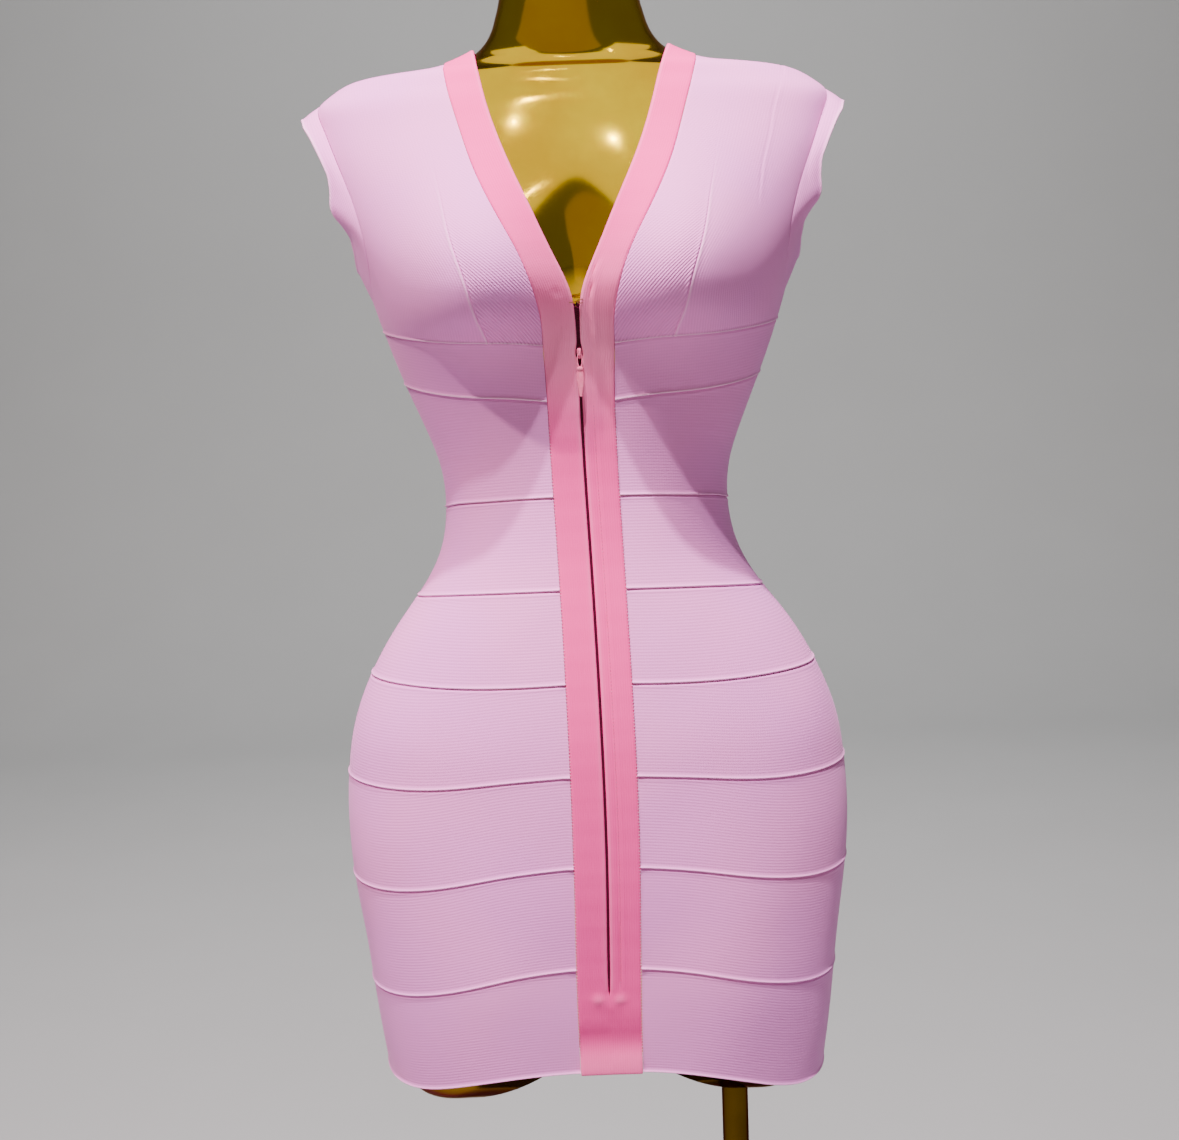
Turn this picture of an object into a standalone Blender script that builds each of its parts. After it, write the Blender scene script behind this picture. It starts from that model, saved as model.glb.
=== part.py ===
"""A bandage-knit bodycon dress with a front zip, worn by a limbless dress form on a pole stand.

Metres, +Z up. The dress faces -Y, and the origin is the centre of the base plate's underside.
Every cloth piece is a wall cut out of one reference skin, a stack of level rings. A ring is a
superellipse, and its half width, depths and roundness are splines through SECTIONS. A point of the
skin is named by its angle round the body, 0 at the centre front and 90 degrees at the wearer's left
side (+X), and by its station, the length along the side outline.
"""

import math

import bmesh
import bpy
import numpy as np
from mathutils import Matrix, Vector

# ------------------------------------------------------------------ driving dimensions
GAP = 0.0003  # between pieces that are sewn or laid together
BAND_WALL = 0.0016  # bandage knit
TRIM_RISE = 0.0008  # the trim's face stands this far over the bands
TRIM_WALL = 0.0022
SEAM_RIDGE = 0.0011  # height of the linked seam along a band's lower edge
SEAM_RIDGE_WIDTH = 0.0032
FORM_INSET = 0.0048  # from the skin to the form

# Level rings of the dress, from under the hem to the neck point of the shoulder:
# height, half width, front depth, back depth, front roundness, back roundness
SECTIONS = (
    (0.6400, 0.1640, 0.095, 0.094, 2.60, 2.50),
    (0.7000, 0.1740, 0.101, 0.101, 2.60, 2.50),
    (0.7560, 0.1805, 0.107, 0.111, 2.60, 2.50),
    (0.8060, 0.1865, 0.111, 0.122, 2.50, 2.40),
    (0.8500, 0.1922, 0.114, 0.134, 2.40, 2.40),
    (0.8900, 0.1938, 0.115, 0.142, 2.35, 2.35),
    (0.9250, 0.1918, 0.115, 0.144, 2.30, 2.30),
    (0.9550, 0.1872, 0.114, 0.140, 2.30, 2.30),
    (0.9910, 0.1745, 0.110, 0.128, 2.25, 2.25),
    (1.0340, 0.1500, 0.103, 0.107, 2.20, 2.20),
    (1.0640, 0.1280, 0.097, 0.094, 2.20, 2.20),
    (1.0890, 0.1145, 0.092, 0.085, 2.15, 2.20),
    (1.1250, 0.1076, 0.087, 0.078, 2.10, 2.20),
    (1.1540, 0.1098, 0.085, 0.078, 2.10, 2.20),
    (1.1820, 0.1190, 0.086, 0.081, 2.10, 2.20),
    (1.2130, 0.1315, 0.089, 0.086, 2.15, 2.20),
    (1.2530, 0.1460, 0.095, 0.092, 2.20, 2.30),
    (1.2850, 0.1560, 0.101, 0.098, 2.30, 2.30),
    (1.3200, 0.1690, 0.100, 0.103, 2.40, 2.40),
    (1.3550, 0.1800, 0.094, 0.104, 2.40, 2.40),
    (1.3850, 0.1870, 0.083, 0.100, 2.40, 2.40),
    (1.4080, 0.1900, 0.073, 0.093, 2.30, 2.30),
    (1.4230, 0.1890, 0.066, 0.086, 2.20, 2.20),
    (1.4310, 0.1810, 0.061, 0.081, 2.10, 2.10),
    (1.4395, 0.1670, 0.057, 0.076, 2.00, 2.00),
    (1.4440, 0.1480, 0.054, 0.071, 2.00, 2.00),
    (1.4470, 0.1190, 0.051, 0.066, 2.00, 2.00),
    (1.4515, 0.0960, 0.048, 0.061, 2.00, 2.00),
    (1.4615, 0.0715, 0.046, 0.057, 2.00, 2.00),
)

# Soft swellings of the skin: centre x, centre height, depth, half width, reach up, reach down
CUP = (0.074, 1.292, 0.040, 0.060, 0.072, 0.046)
SEAT = (0.080, 0.900, 0.016, 0.070, 0.085, 0.085)
THIGH = (0.090, 0.760, 0.006, 0.050, 0.090, 0.200)

# Heights of the seams between the bands at these angles from the centre front, in degrees
SEAM_ANGLES = (12, 35, 50, 65, 90, 130, 180)
SEAMS = {
    "underbust": (1.2445, 1.2480, 1.2490, 1.2520, 1.2590, 1.2600, 1.2560),
    "rib": (1.2035, 1.2075, 1.2090, 1.2125, 1.2195, 1.2190, 1.2130),
    "waist": (1.1360, 1.1345, 1.1325, 1.1300, 1.1240, 1.1270, 1.1310),
    "high_hip": (1.0695, 1.0680, 1.0660, 1.0630, 1.0570, 1.0580, 1.0610),
    "hip": (1.0030, 1.0010, 1.0003, 1.0003, 0.9990, 0.9930, 0.9900),
    "seat": (0.9365, 0.9320, 0.9270, 0.9243, 0.9240, 0.9170, 0.9150),
    "upper_thigh": (0.8690, 0.8625, 0.8535, 0.8462, 0.8460, 0.8420, 0.8420),
    "thigh": (0.7915, 0.7850, 0.7740, 0.7640, 0.7630, 0.7650, 0.7690),
    "hem": (0.7097, 0.7057, 0.6965, 0.6845, 0.6870, 0.6880, 0.6900),
}
HEM_LEAN = 0.0055  # the hem hangs this much lower at the wearer's left side, higher at the right
# The bands from the bust down: name, upper seam, lower seam
BANDS = (
    ("ribcage_band", "underbust", "rib"),
    ("midriff_band", "rib", "waist"),
    ("waist_band", "waist", "high_hip"),
    ("high_hip_band", "high_hip", "hip"),
    ("hip_band", "hip", "seat"),
    ("seat_band", "seat", "upper_thigh"),
    ("thigh_band", "upper_thigh", "thigh"),
    ("hem_band", "thigh", "hem"),
)
FRONT_BAND_COLUMNS = 9
BACK_BAND_COLUMNS = 13
PLAIN_BAND_ROWS = 3

# The trim down one side of the neckline, from the shoulder seam to the underbust:
# inner edge x and height, outer edge x and height
NECKLINE_TRIM = (
    (0.0715, 1.4615, 0.0925, 1.4528),
    (0.0650, 1.4400, 0.0870, 1.4290),
    (0.0590, 1.4170, 0.0797, 1.4040),
    (0.0478, 1.3830, 0.0693, 1.3720),
    (0.0300, 1.3420, 0.0508, 1.3330),
    (0.0144, 1.3070, 0.0354, 1.3020),
    (0.0030, 1.2770, 0.0276, 1.2750),
    (0.0016, 1.2600, 0.0253, 1.2600),
    (0.0012, 1.2445, 0.0250, 1.2445),
)
# The trim along the zip: height, inner edge x, outer edge x
ZIP_TRIM = (
    (1.2445, 0.0012, 0.0250),
    (1.2000, 0.0010, 0.0238),
    (1.0500, 0.0010, 0.0236),
    (0.9000, 0.0010, 0.0240),
    (0.7900, 0.0010, 0.0235),
    (0.7700, 0.0002, 0.0234),
    (0.7095, 0.0002, 0.0228),
)
# The neckline leans to the wearer's right, and the zip bows to the left on its way down:
# height, shift of the centre line
ZIP_BOW = (
    (1.4615, 0.0000),
    (1.4350, -0.0016),
    (1.3900, -0.0021),
    (1.3300, -0.0026),
    (1.2900, -0.0025),
    (1.2500, -0.0018),
    (1.2060, -0.0016),
    (1.0910, 0.0014),
    (0.9800, 0.0042),
    (0.8680, 0.0048),
    (0.7740, 0.0032),
    (0.6900, 0.0032),
)
SLIDER_HEIGHT = 1.2385
SLIDER_SPREAD = 0.0022  # the slider pushes each trim aside by this much
SLIDER_SPREAD_REACH = 0.0070
TRIM_LOWER_ROWS = 16
TRIM_LOWER_TOP = 1.2250
SLIDER_ROW_STEP = 0.0040

ZIP_TOP = 1.2720
TAPE_WALL = 0.0007
TAPE_GAP = 0.0005  # between the trim and the tape behind it
TAPE_OUTER = 0.0110  # from the zip's centre line
TAPE_INNER = 0.0005
TAPE_PARTING = 0.055  # above the slider each tape leaves the centre line by this much per metre
TAPE_PARTS_FROM = SLIDER_HEIGHT - 0.0060

# The armhole seam: top and foot heights, reach forward and back in degrees, and how low it is full
ARMHOLE_TOP = 1.4265
ARMHOLE_FOOT = 1.2790
ARMHOLE_REACH_FRONT = 17.6
ARMHOLE_REACH_BACK = 20.0
ARMHOLE_FULLNESS = 0.45
ARMHOLE_SHRINK = 0.0225  # the sleeve's seam line is this share smaller than the bodice's
# The cap sleeve's free edge, which runs in from its tip and tucks in at the underarm:
# turn from the top in degrees, x
CAP_EDGE = (
    (0, 0.2025),
    (30, 0.1980),
    (60, 0.1864),
    (78, 0.1792),
    (90, 0.1780),
    (100, 0.1788),
    (107, 0.1770),
    (114, 0.1712),
    (124, 0.1660),
    (140, 0.1645),
    (180, 0.1655),
)
CAP_TOP = 1.4157
CAP_FOOT = 1.3040
CAP_HALF_DEPTH = 0.0430
CAP_BULGE = 0.0005
SLEEVE_ROWS = 4

# Rows and columns of the bodice. The first SIDE_ROWS rows climb the side seam.
BODICE_ROWS = 19
SIDE_ROWS = 4
DART_RIDGE = 0.0009
DART_SHARE = 0.30  # how far across the cup the dart's seam runs
DART_HALF_WIDTH = 0.018
DART_TOP = 0.62
SHOULDER_COLUMNS = 6  # of the back, each side
BACK_NECK_COLUMNS = 17
BACK_NECK_CROWDING = 0.4  # how much closer the columns stand at the shoulders
BACK_NECK_INNER = 1.4400
BACK_NECK_OUTER = 1.4165
BACK_NECK_POWER = 2.4
BACK_NECK_GAP = 0.0024

# The form: arm plates, thigh stubs and neck
ARM_PLATE = 0.1680
CENTRE_STRIP = math.radians(13)  # the form's columns stand where the bands' columns do
FORM_ROWS = 32
FORM_FOOT = 0.7750
FORM_SHOULDER_HALF_WIDTH = 0.0880
STUB_FOOT = 0.6660
STUB_TOP_CENTRE = (0.0875, 0.0030)
STUB_FOOT_CENTRE = (0.1260, -0.0290)
STUB_POWER = 1.75  # of the superellipse that the stub's sides follow
STUB_DEPTHS = (0.20, 0.40, 0.58, 0.73, 0.85, 0.93, 0.98)
CROTCH_POINTS = 5
# Neck rings: height, half width, front depth, back depth
NECK = (
    (1.4820, 0.0558, 0.0435, 0.0530),
    (1.4960, 0.0520, 0.0435, 0.0525),
    (1.5200, 0.0508, 0.0435, 0.0525),
    (1.5450, 0.0505, 0.0435, 0.0525),
    (1.5530, 0.0490, 0.0420, 0.0508),
    (1.5570, 0.0440, 0.0375, 0.0455),
)
NECK_BLEND = (0.25, 0.5, 0.75)
NECK_HUG = 0.80  # how near the neck the shoulder's curve runs before it rises
NECK_LIFT = 0.22

# The stand
POLE_RADIUS = 0.0105
POLE_AT = (0.1020, 0.0100)
POLE_TOP = 0.7150
SOCKET_TOP = 0.7170
BASE_RADIUS = 0.1800
BASE_THICKNESS = 0.0060
BASE_EDGE = 0.0020
COLLAR_RADIUS = 0.0230
COLLAR_HEIGHT = 0.0150

# The zip slider, outwards from the skin: a face plate, a keeper plate behind the tapes, a post
PLATE_OUT = 0.0012
PLATE_IN = -0.0012
PLATE_SIZE = (0.0050, 0.0066)
KEEPER_OUT = -0.0029
KEEPER_IN = -0.0036
KEEPER_SIZE = (0.0072, 0.0070)
POST_SIZE = (0.0007, 0.0034)
CROWN_RADIUS = 0.0031
CROWN_WIRE = 0.00065
CROWN_POINTS = 11
PIVOT_OUT = PLATE_OUT + 0.00125
# The pull: distance below its pivot, half width
PULL_OUTLINE = (
    (-0.0005, 0.0019),
    (0.0030, 0.0021),
    (0.0056, 0.0019),
    (0.0068, 0.0014),
    (0.0082, 0.0019),
    (0.0118, 0.0027),
    (0.0160, 0.0026),
    (0.0215, 0.0018),
    (0.0258, 0.0013),
)
PULL_POINTS = 16
PULL_THICKNESS = 0.0014
WINDOW_HALF_WIDTH = 0.0011  # the window that the crown passes through
WINDOW_TOP = 0.0006
WINDOW_FOOT = 0.0053

# The hook and eye at the zip's top, as wires: shift across, lift off the skin, height
HOOK_HEIGHT = 1.2747
HOOK_WIRE = 0.0003
EYE_PATH = (
    (0.0060, -0.0021, 0.0013),
    (0.0016, -0.0021, 0.0013),
    (0.0004, -0.0021, 0.0010),
    (-0.0003, -0.0021, 0.0000),
    (0.0004, -0.0021, -0.0010),
    (0.0016, -0.0021, -0.0013),
    (0.0060, -0.0021, -0.0013),
)
HOOK_PATH = (
    (-0.0060, -0.0021, 0.0000),
    (-0.0024, -0.0021, 0.0000),
    (-0.0014, -0.0011, 0.0000),
    (0.0008, -0.0010, 0.0000),
    (0.0014, -0.0020, 0.0000),
    (0.0008, -0.0031, 0.0000),
    (-0.0008, -0.0031, 0.0000),
)

# Colour, roughness, metallic
FINISHES = {
    "bandage_knit": ((0.80, 0.52, 0.68), 0.75, 0.0),
    "deep_pink_trim": ((0.80, 0.25, 0.42), 0.70, 0.0),
    "zip_tape": ((0.28, 0.05, 0.10), 0.80, 0.0),
    "painted_metal": ((0.85, 0.45, 0.55), 0.35, 0.0),
    "gold_form": ((0.72, 0.45, 0.12), 0.22, 1.0),
    "gold_plated_steel": ((0.70, 0.55, 0.28), 0.30, 1.0),
}


# ------------------------------------------------------------------ the reference skin
def spline(knots, values):
    """A natural cubic spline through rows of values at rising knots, as a function."""
    knots = np.asarray(knots, float)
    values = np.asarray(values, float).reshape(len(knots), -1)
    span = np.diff(knots)
    count = len(knots)
    matrix = np.eye(count)
    right = np.zeros_like(values)
    for i in range(1, count - 1):
        matrix[i, i - 1 : i + 2] = span[i - 1], 2 * (span[i - 1] + span[i]), span[i]
        rise_after = (values[i + 1] - values[i]) / span[i]
        rise_before = (values[i] - values[i - 1]) / span[i - 1]
        right[i] = 6 * (rise_after - rise_before)
    bend = np.linalg.solve(matrix, right)

    def at(x):
        x = np.asarray(x, float)
        i = np.clip(np.searchsorted(knots, x) - 1, 0, count - 2)
        h = span[i][..., None]
        a = (knots[i + 1] - x)[..., None] / h
        b = 1 - a
        curve = ((a**3 - a) * bend[i] + (b**3 - b) * bend[i + 1]) * h**2 / 6
        return a * values[i] + b * values[i + 1] + curve

    return at


def running_length(points):
    """The running length along a row of points."""
    steps = np.linalg.norm(np.diff(points, axis=0), axis=1)
    return np.concatenate([[0.0], np.cumsum(steps)])


SECTION_ROWS = np.array(SECTIONS)
STATIONS = running_length(SECTION_ROWS[:, :2])
SECTION_AT = spline(STATIONS, SECTION_ROWS)
FINE_STATIONS = np.linspace(0, STATIONS[-1], 4001)
FINE_SECTIONS = SECTION_AT(FINE_STATIONS)
ON_SHOULDER = FINE_SECTIONS[:, 0] > ARMHOLE_TOP


def station(height):
    """The station of the ring at this height."""
    return np.interp(height, FINE_SECTIONS[:, 0], FINE_STATIONS)


def shoulder_station(x):
    """The station where the shoulder's ridge passes x metres from the centre."""
    widths = FINE_SECTIONS[ON_SHOULDER, 1]
    return np.interp(-np.abs(x), -widths, FINE_STATIONS[ON_SHOULDER])


def swelling(x, height, spec):
    """How far a pair of soft bumps, one each side, lifts the skin: a Gaussian of both distances."""
    centre_x, centre_height, depth, half_width, up, down = spec
    across = (np.abs(x) - centre_x) / half_width
    along = height - centre_height
    along = np.where(along > 0, along / up, along / down)
    return depth * np.exp(-(across**2) - along**2)


def skin_point(angle, at_station):
    """Points of the skin at angles in radians and stations."""
    angle, at_station = np.broadcast_arrays(angle, at_station)
    section = np.moveaxis(SECTION_AT(at_station), -1, 0)
    height, half_width, front, back, round_front, round_back = section
    forward = np.cos(angle)
    in_front = forward >= 0
    depth = np.where(in_front, front, back)
    power = np.where(in_front, round_front, round_back)
    sideways = np.abs(np.sin(angle) / half_width) ** power
    radius = (sideways + np.abs(forward / depth) ** power) ** (-1 / power)
    x = radius * np.sin(angle)
    y = -radius * forward
    facing = np.clip(3 * np.abs(forward), 0, 1)
    chest = swelling(x, height, CUP) + swelling(x, height, THIGH)
    y = y + facing * np.where(in_front, -chest, swelling(x, height, SEAT))
    return np.stack([x, y, height], -1)


def skin_normal(angle, at_station):
    """The skin's outward unit normal, from small steps round and up."""
    step = 1e-4
    round_way = skin_point(angle + step, at_station) - skin_point(angle - step, at_station)
    up_way = skin_point(angle, at_station + step) - skin_point(angle, at_station - step)
    normal = np.cross(round_way, up_way)
    return normal / np.linalg.norm(normal, axis=-1, keepdims=True)


def skin(angle, at_station, lift=0.0):
    """Points lifted off the skin along its outward normal."""
    angle, at_station = np.broadcast_arrays(angle, at_station)
    lift = np.broadcast_to(lift, angle.shape)[..., None]
    return skin_point(angle, at_station) + skin_normal(angle, at_station) * lift


def angle_at_x(x, at_station, front=True):
    """The angle at which the ring of a station passes x, in front or behind."""
    section = SECTION_AT(at_station)
    power = section[..., 4 if front else 5]
    share = np.clip(np.abs(x) / section[..., 1], 0, 1)
    depth = section[..., 2 if front else 3] * (1 - share**power) ** (1 / power)
    angle = np.arctan2(np.abs(x), depth)
    return np.where(x < 0, -1, 1) * (angle if front else math.pi - angle)


def side_angle(at_station, sign):
    """The side seam's angle, half a gap in front of (-1) or behind (+1) the side."""
    return math.pi / 2 + sign * GAP / 2 / SECTION_AT(at_station)[..., 1]


SEAM_KNOTS = SEAM_ANGLES + (230, 270)
SEAM_AT = {
    name: spline(SEAM_KNOTS, heights + (heights[-2], heights[-3]))
    for name, heights in SEAMS.items()
}
ZIP_BOW_AT = spline([-row[0] for row in ZIP_BOW], [row[1] for row in ZIP_BOW])


def seam_height(name, angle):
    """A seam's height at an angle, the same on both sides of the body but for the hem's lean."""
    folded = np.abs((angle + math.pi) % (2 * math.pi) - math.pi)
    height = SEAM_AT[name](np.maximum(np.degrees(folded), SEAM_ANGLES[0]))[..., 0]
    return height - (HEM_LEAN * np.sin(angle) ** 3 if name == "hem" else 0)


def zip_centre(height):
    """How far the zip's centre line lies from the centre front."""
    return ZIP_BOW_AT(-np.clip(height, ZIP_BOW[-1][0], ZIP_BOW[0][0]))[..., 0]


def slider_bump(height):
    """1 at the slider, falling off above and below it."""
    return np.exp(-(((height - SLIDER_HEIGHT) / SLIDER_SPREAD_REACH) ** 2))


# ------------------------------------------------------------------ making solids
class Workshop:
    """The collections and materials that pieces are made with."""

    def __init__(self):
        self.parts = self.collection("bodycon_dress")
        self.helpers = self.collection("cutters")
        self.materials = {name: self.material(name, *look) for name, look in FINISHES.items()}

    @staticmethod
    def collection(name):
        """A collection in the scene, to hold one kind of object."""
        collection = bpy.data.collections.new(name)
        bpy.context.scene.collection.children.link(collection)
        return collection

    @staticmethod
    def material(name, colour, roughness, metallic):
        """A plain Principled material."""
        material = bpy.data.materials.new(name)
        material.use_nodes = True
        shader = material.node_tree.nodes["Principled BSDF"]
        shader.inputs["Base Color"].default_value = (*colour, 1.0)
        shader.inputs["Roughness"].default_value = roughness
        shader.inputs["Metallic"].default_value = metallic
        return material

    def add(self, name, mesh, finish, place=None):
        """Adds a mesh as a part of the object."""
        mesh.materials.clear()
        mesh.materials.append(self.materials[finish])
        thing = bpy.data.objects.new(name, mesh)
        self.parts.objects.link(thing)
        if place:
            thing.matrix_world = place
        return thing

    def combine(self, thing, mesh, operation):
        """Joins a mesh to a part, or cuts it away, by an exact Boolean modifier."""
        helper = bpy.data.objects.new(mesh.name, mesh)
        helper.matrix_world = thing.matrix_world
        helper.hide_render = True
        helper.display_type = "WIRE"
        self.helpers.objects.link(helper)
        modifier = thing.modifiers.new(mesh.name, "BOOLEAN")
        modifier.operation = operation
        modifier.solver = "EXACT"
        modifier.object = helper


def finish_mesh(name, bm):
    """Turns the faces out, and makes a smooth-shaded mesh of them."""
    bmesh.ops.recalc_face_normals(bm, faces=bm.faces)
    mesh = bpy.data.meshes.new(name)
    bm.to_mesh(mesh)
    bm.free()
    mesh.shade_smooth()
    mesh.set_sharp_from_angle(angle=math.radians(40))
    return mesh


def wall(name, outer, inner, ring=False):
    """A closed wall between an outer and an inner grid of points; a ring joins its own ends."""
    rows, columns = outer.shape[:2]
    bm = bmesh.new()
    outside = [[bm.verts.new(point) for point in row] for row in outer]
    inside = [[bm.verts.new(point) for point in row] for row in inner]
    pairs = [(j, (j + 1) % columns) for j in range(columns if ring else columns - 1)]
    for sheet in (outside, inside):
        for low, high in zip(sheet, sheet[1:]):
            for j, k in pairs:
                bm.faces.new((low[j], low[k], high[k], high[j]))
    for i in (0, rows - 1):
        for j, k in pairs:
            bm.faces.new((outside[i][j], outside[i][k], inside[i][k], inside[i][j]))
    if not ring:
        for i in range(rows - 1):
            for j in (0, columns - 1):
                edge = (outside[i][j], outside[i + 1][j], inside[i + 1][j], inside[i][j])
                bm.faces.new(edge)
    return finish_mesh(name, bm)


def skin_wall(name, angle, at_station, top, depth, relief=0.0):
    """A wall that follows the skin: its face is lifted by top, and a relief stands on the face."""
    outer = skin(angle, at_station, top + relief)
    inner = skin(angle, at_station, top - depth)
    return wall(name, outer, inner)


def block(name, size, centre):
    """A box."""
    bm = bmesh.new()
    bmesh.ops.create_cube(bm, matrix=Matrix.Translation(centre) @ Matrix.Diagonal((*size, 1)))
    return finish_mesh(name, bm)


def cylinder(name, radius, low, high, at=(0.0, 0.0), segments=40):
    """An upright cylinder between two heights."""
    bm = bmesh.new()
    bmesh.ops.create_cone(
        bm,
        cap_ends=True,
        segments=segments,
        radius1=radius,
        radius2=radius,
        depth=high - low,
        matrix=Matrix.Translation((*at, (low + high) / 2)),
    )
    return finish_mesh(name, bm)


def curve_mesh(name, curve):
    """The mesh of a curve, with its caps welded on."""
    holder = bpy.data.objects.new(name, curve)
    bpy.context.scene.collection.objects.link(holder)
    bpy.context.view_layer.update()
    evaluated = holder.evaluated_get(bpy.context.evaluated_depsgraph_get())
    mesh = bpy.data.meshes.new_from_object(evaluated)
    bpy.data.objects.remove(holder)
    bm = bmesh.new()
    bm.from_mesh(mesh)
    bmesh.ops.remove_doubles(bm, verts=bm.verts, dist=1e-7)
    return finish_mesh(name, bm)


def add_polyline(curve, points, closed=False):
    """Adds a straight-sided line through points to a curve."""
    line = curve.splines.new("POLY")
    line.points.add(len(points) - 1)
    line.use_cyclic_u = closed
    for knot, point in zip(line.points, points):
        knot.co = (*point, 1.0)


def wire(name, points, radius):
    """A round wire along points."""
    curve = bpy.data.curves.new(name, "CURVE")
    curve.dimensions = "3D"
    curve.bevel_depth = radius
    curve.bevel_resolution = 1
    curve.use_fill_caps = True
    add_polyline(curve, points)
    return curve_mesh(name, curve)


def skin_frame(x, height, lift=0.0):
    """A frame on the skin: X across, Y inwards, Z up along the skin."""
    at = station(height)
    angle = angle_at_x(np.asarray(x), at)
    outward = Vector(skin_normal(angle, at)).normalized()
    across = Vector((1, 0, 0))
    across = (across - outward * across.dot(outward)).normalized()
    up = outward.cross(across)
    frame = Matrix((across, -outward, up)).transposed().to_4x4()
    frame.translation = Vector(skin(angle, at, lift))
    return frame


# ------------------------------------------------------------------ bands of the skirt and midriff
def trim_edge(height, side):
    """x of the trim's outer edge below the bust, where the bands end."""
    rows = np.array(ZIP_TRIM)
    return side * np.interp(-height, -rows[:, 0], rows[:, 2]) + zip_centre(height)


def seam_rows(length, plain_rows):
    """Shares up a piece from its lower edge, and the relief of its linked seam at each."""
    ridge = SEAM_RIDGE_WIDTH / length
    plain = np.linspace(ridge, 1, plain_rows + 1)
    shares = np.concatenate([[0, 0.4 * ridge], plain])
    relief = np.zeros(len(shares))
    relief[:2] = 0.7 * SEAM_RIDGE, SEAM_RIDGE
    return shares, relief


def front_band_angles(height, side):
    """Columns of a front band, from the trim's edge to the side seam."""
    at = station(height)
    inner = angle_at_x(trim_edge(height, side) + side * GAP, at)[:, None]
    outer = side * side_angle(at, -1)[:, None]
    return inner + (outer - inner) * np.linspace(0, 1, FRONT_BAND_COLUMNS)


def back_band_angles(height):
    """Columns of a back band, from side seam to side seam."""
    start = side_angle(station(height), 1)[:, None]
    return start + 2 * (math.pi - start) * np.linspace(0, 1, BACK_BAND_COLUMNS)


def band(name, upper, lower, angles_at):
    """A band between two seams, whose columns stand at the angles given for its heights."""
    corner = math.radians(SEAM_ANGLES[0])
    top = seam_height(upper, corner)
    foot = seam_height(lower, corner)
    shares, relief = seam_rows(top - foot, PLAIN_BAND_ROWS)
    angle = angles_at(foot + shares * (top - foot))
    top = seam_height(upper, angle) - GAP / 2
    foot = seam_height(lower, angle) + GAP / 2
    at = station(foot + shares[:, None] * (top - foot))
    return skin_wall(name, angle, at, 0.0, BAND_WALL, relief[:, None])


def build_bands(shop):
    """Every band: a front piece each side of the zip, and one piece round the back."""
    for name, upper, lower in BANDS:
        for word, side in (("_left", 1), ("_right", -1)):
            mesh = band(name + word, upper, lower, lambda z, s=side: front_band_angles(z, s))
            shop.add(name + word, mesh, "bandage_knit")
        mesh = band(name + "_back", upper, lower, back_band_angles)
        shop.add(name + "_back", mesh, "bandage_knit")


# ------------------------------------------------------------------ bodice
def onto_skin(x, height):
    """Angles and stations of points in front, whose last row lies on the shoulder's ridge."""
    at = station(height)
    at[-1] = shoulder_station(x[-1])
    angle = angle_at_x(x, at)
    angle[-1] = np.sign(x[-1]) * side_angle(at[-1], -1)
    return angle, at


def neckline_curve():
    """Fine rows of the neckline trim, underbust first, and the length along its outer edge."""
    table = np.array(NECKLINE_TRIM)[::-1]
    knots = running_length(table[:, 2:])
    rows = spline(knots, table)(np.linspace(0, knots[-1], 800))
    return rows, running_length(skin(*onto_skin(rows[:, 2], rows[:, 3])))


NECKLINE_FINE, NECKLINE_LENGTH = neckline_curve()
BODICE_SHARES, BODICE_RELIEF = seam_rows(NECKLINE_LENGTH[-1], BODICE_ROWS - 3)
SIDE_SHARE = BODICE_SHARES[SIDE_ROWS]
ARMHOLE_TURNS = math.pi * (1 - BODICE_SHARES[SIDE_ROWS:]) / (1 - SIDE_SHARE)
CUP_SHARES = np.sort(np.append(
    np.linspace(0, 1, FRONT_BAND_COLUMNS),
    [DART_SHARE - DART_HALF_WIDTH, DART_SHARE + DART_HALF_WIDTH],
))


def armhole(turn, front, shrink=0.0):
    """Angle and station of the armhole seam at turns from its top, 0, to its foot, pi."""
    middle = (ARMHOLE_TOP + ARMHOLE_FOOT) / 2
    half = (ARMHOLE_TOP - ARMHOLE_FOOT) / 2 * (1 - shrink)
    reach = math.radians(ARMHOLE_REACH_FRONT if front else ARMHOLE_REACH_BACK) * (1 - shrink)
    swing = reach * np.sin(turn) * (1 - ARMHOLE_FULLNESS * np.cos(turn))
    return math.pi / 2 + (-swing if front else swing), station(middle + half * np.cos(turn))


def side_edge(front):
    """The bodice's edge up the side seam and then round the armhole, as angles and stations."""
    lowest = seam_height("underbust", math.pi / 2) + GAP / 2
    climb = BODICE_SHARES[:SIDE_ROWS] / SIDE_SHARE
    side_at = station(lowest + (ARMHOLE_FOOT - lowest) * climb)
    turned, round_at = armhole(ARMHOLE_TURNS, front)
    at = np.concatenate([side_at, round_at])
    angle = np.concatenate([np.full(SIDE_ROWS, math.pi / 2), turned])
    angle = angle + side_angle(at, -1 if front else 1) - math.pi / 2
    return np.stack([angle, at], -1)


def coons(left, right, foot, top, up, across):
    """Fills four edge curves with a grid: ruled both ways, less the blend of the corners."""
    up = up[:, None, None]
    across = across[None, :, None]
    sides = (1 - across) * left[:, None] + across * right[:, None]
    ends = (1 - up) * foot[None] + up * top[None]
    low = (1 - across) * foot[0] + across * foot[-1]
    high = (1 - across) * top[0] + across * top[-1]
    return sides + ends - (1 - up) * low - up * high


def neckline_rows():
    """Rows of the neckline trim at the bodice's shares, lowest first."""
    length = NECKLINE_LENGTH[-1] * BODICE_SHARES
    columns = [np.interp(length, NECKLINE_LENGTH, column) for column in NECKLINE_FINE.T]
    return np.stack(columns, -1)


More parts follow.
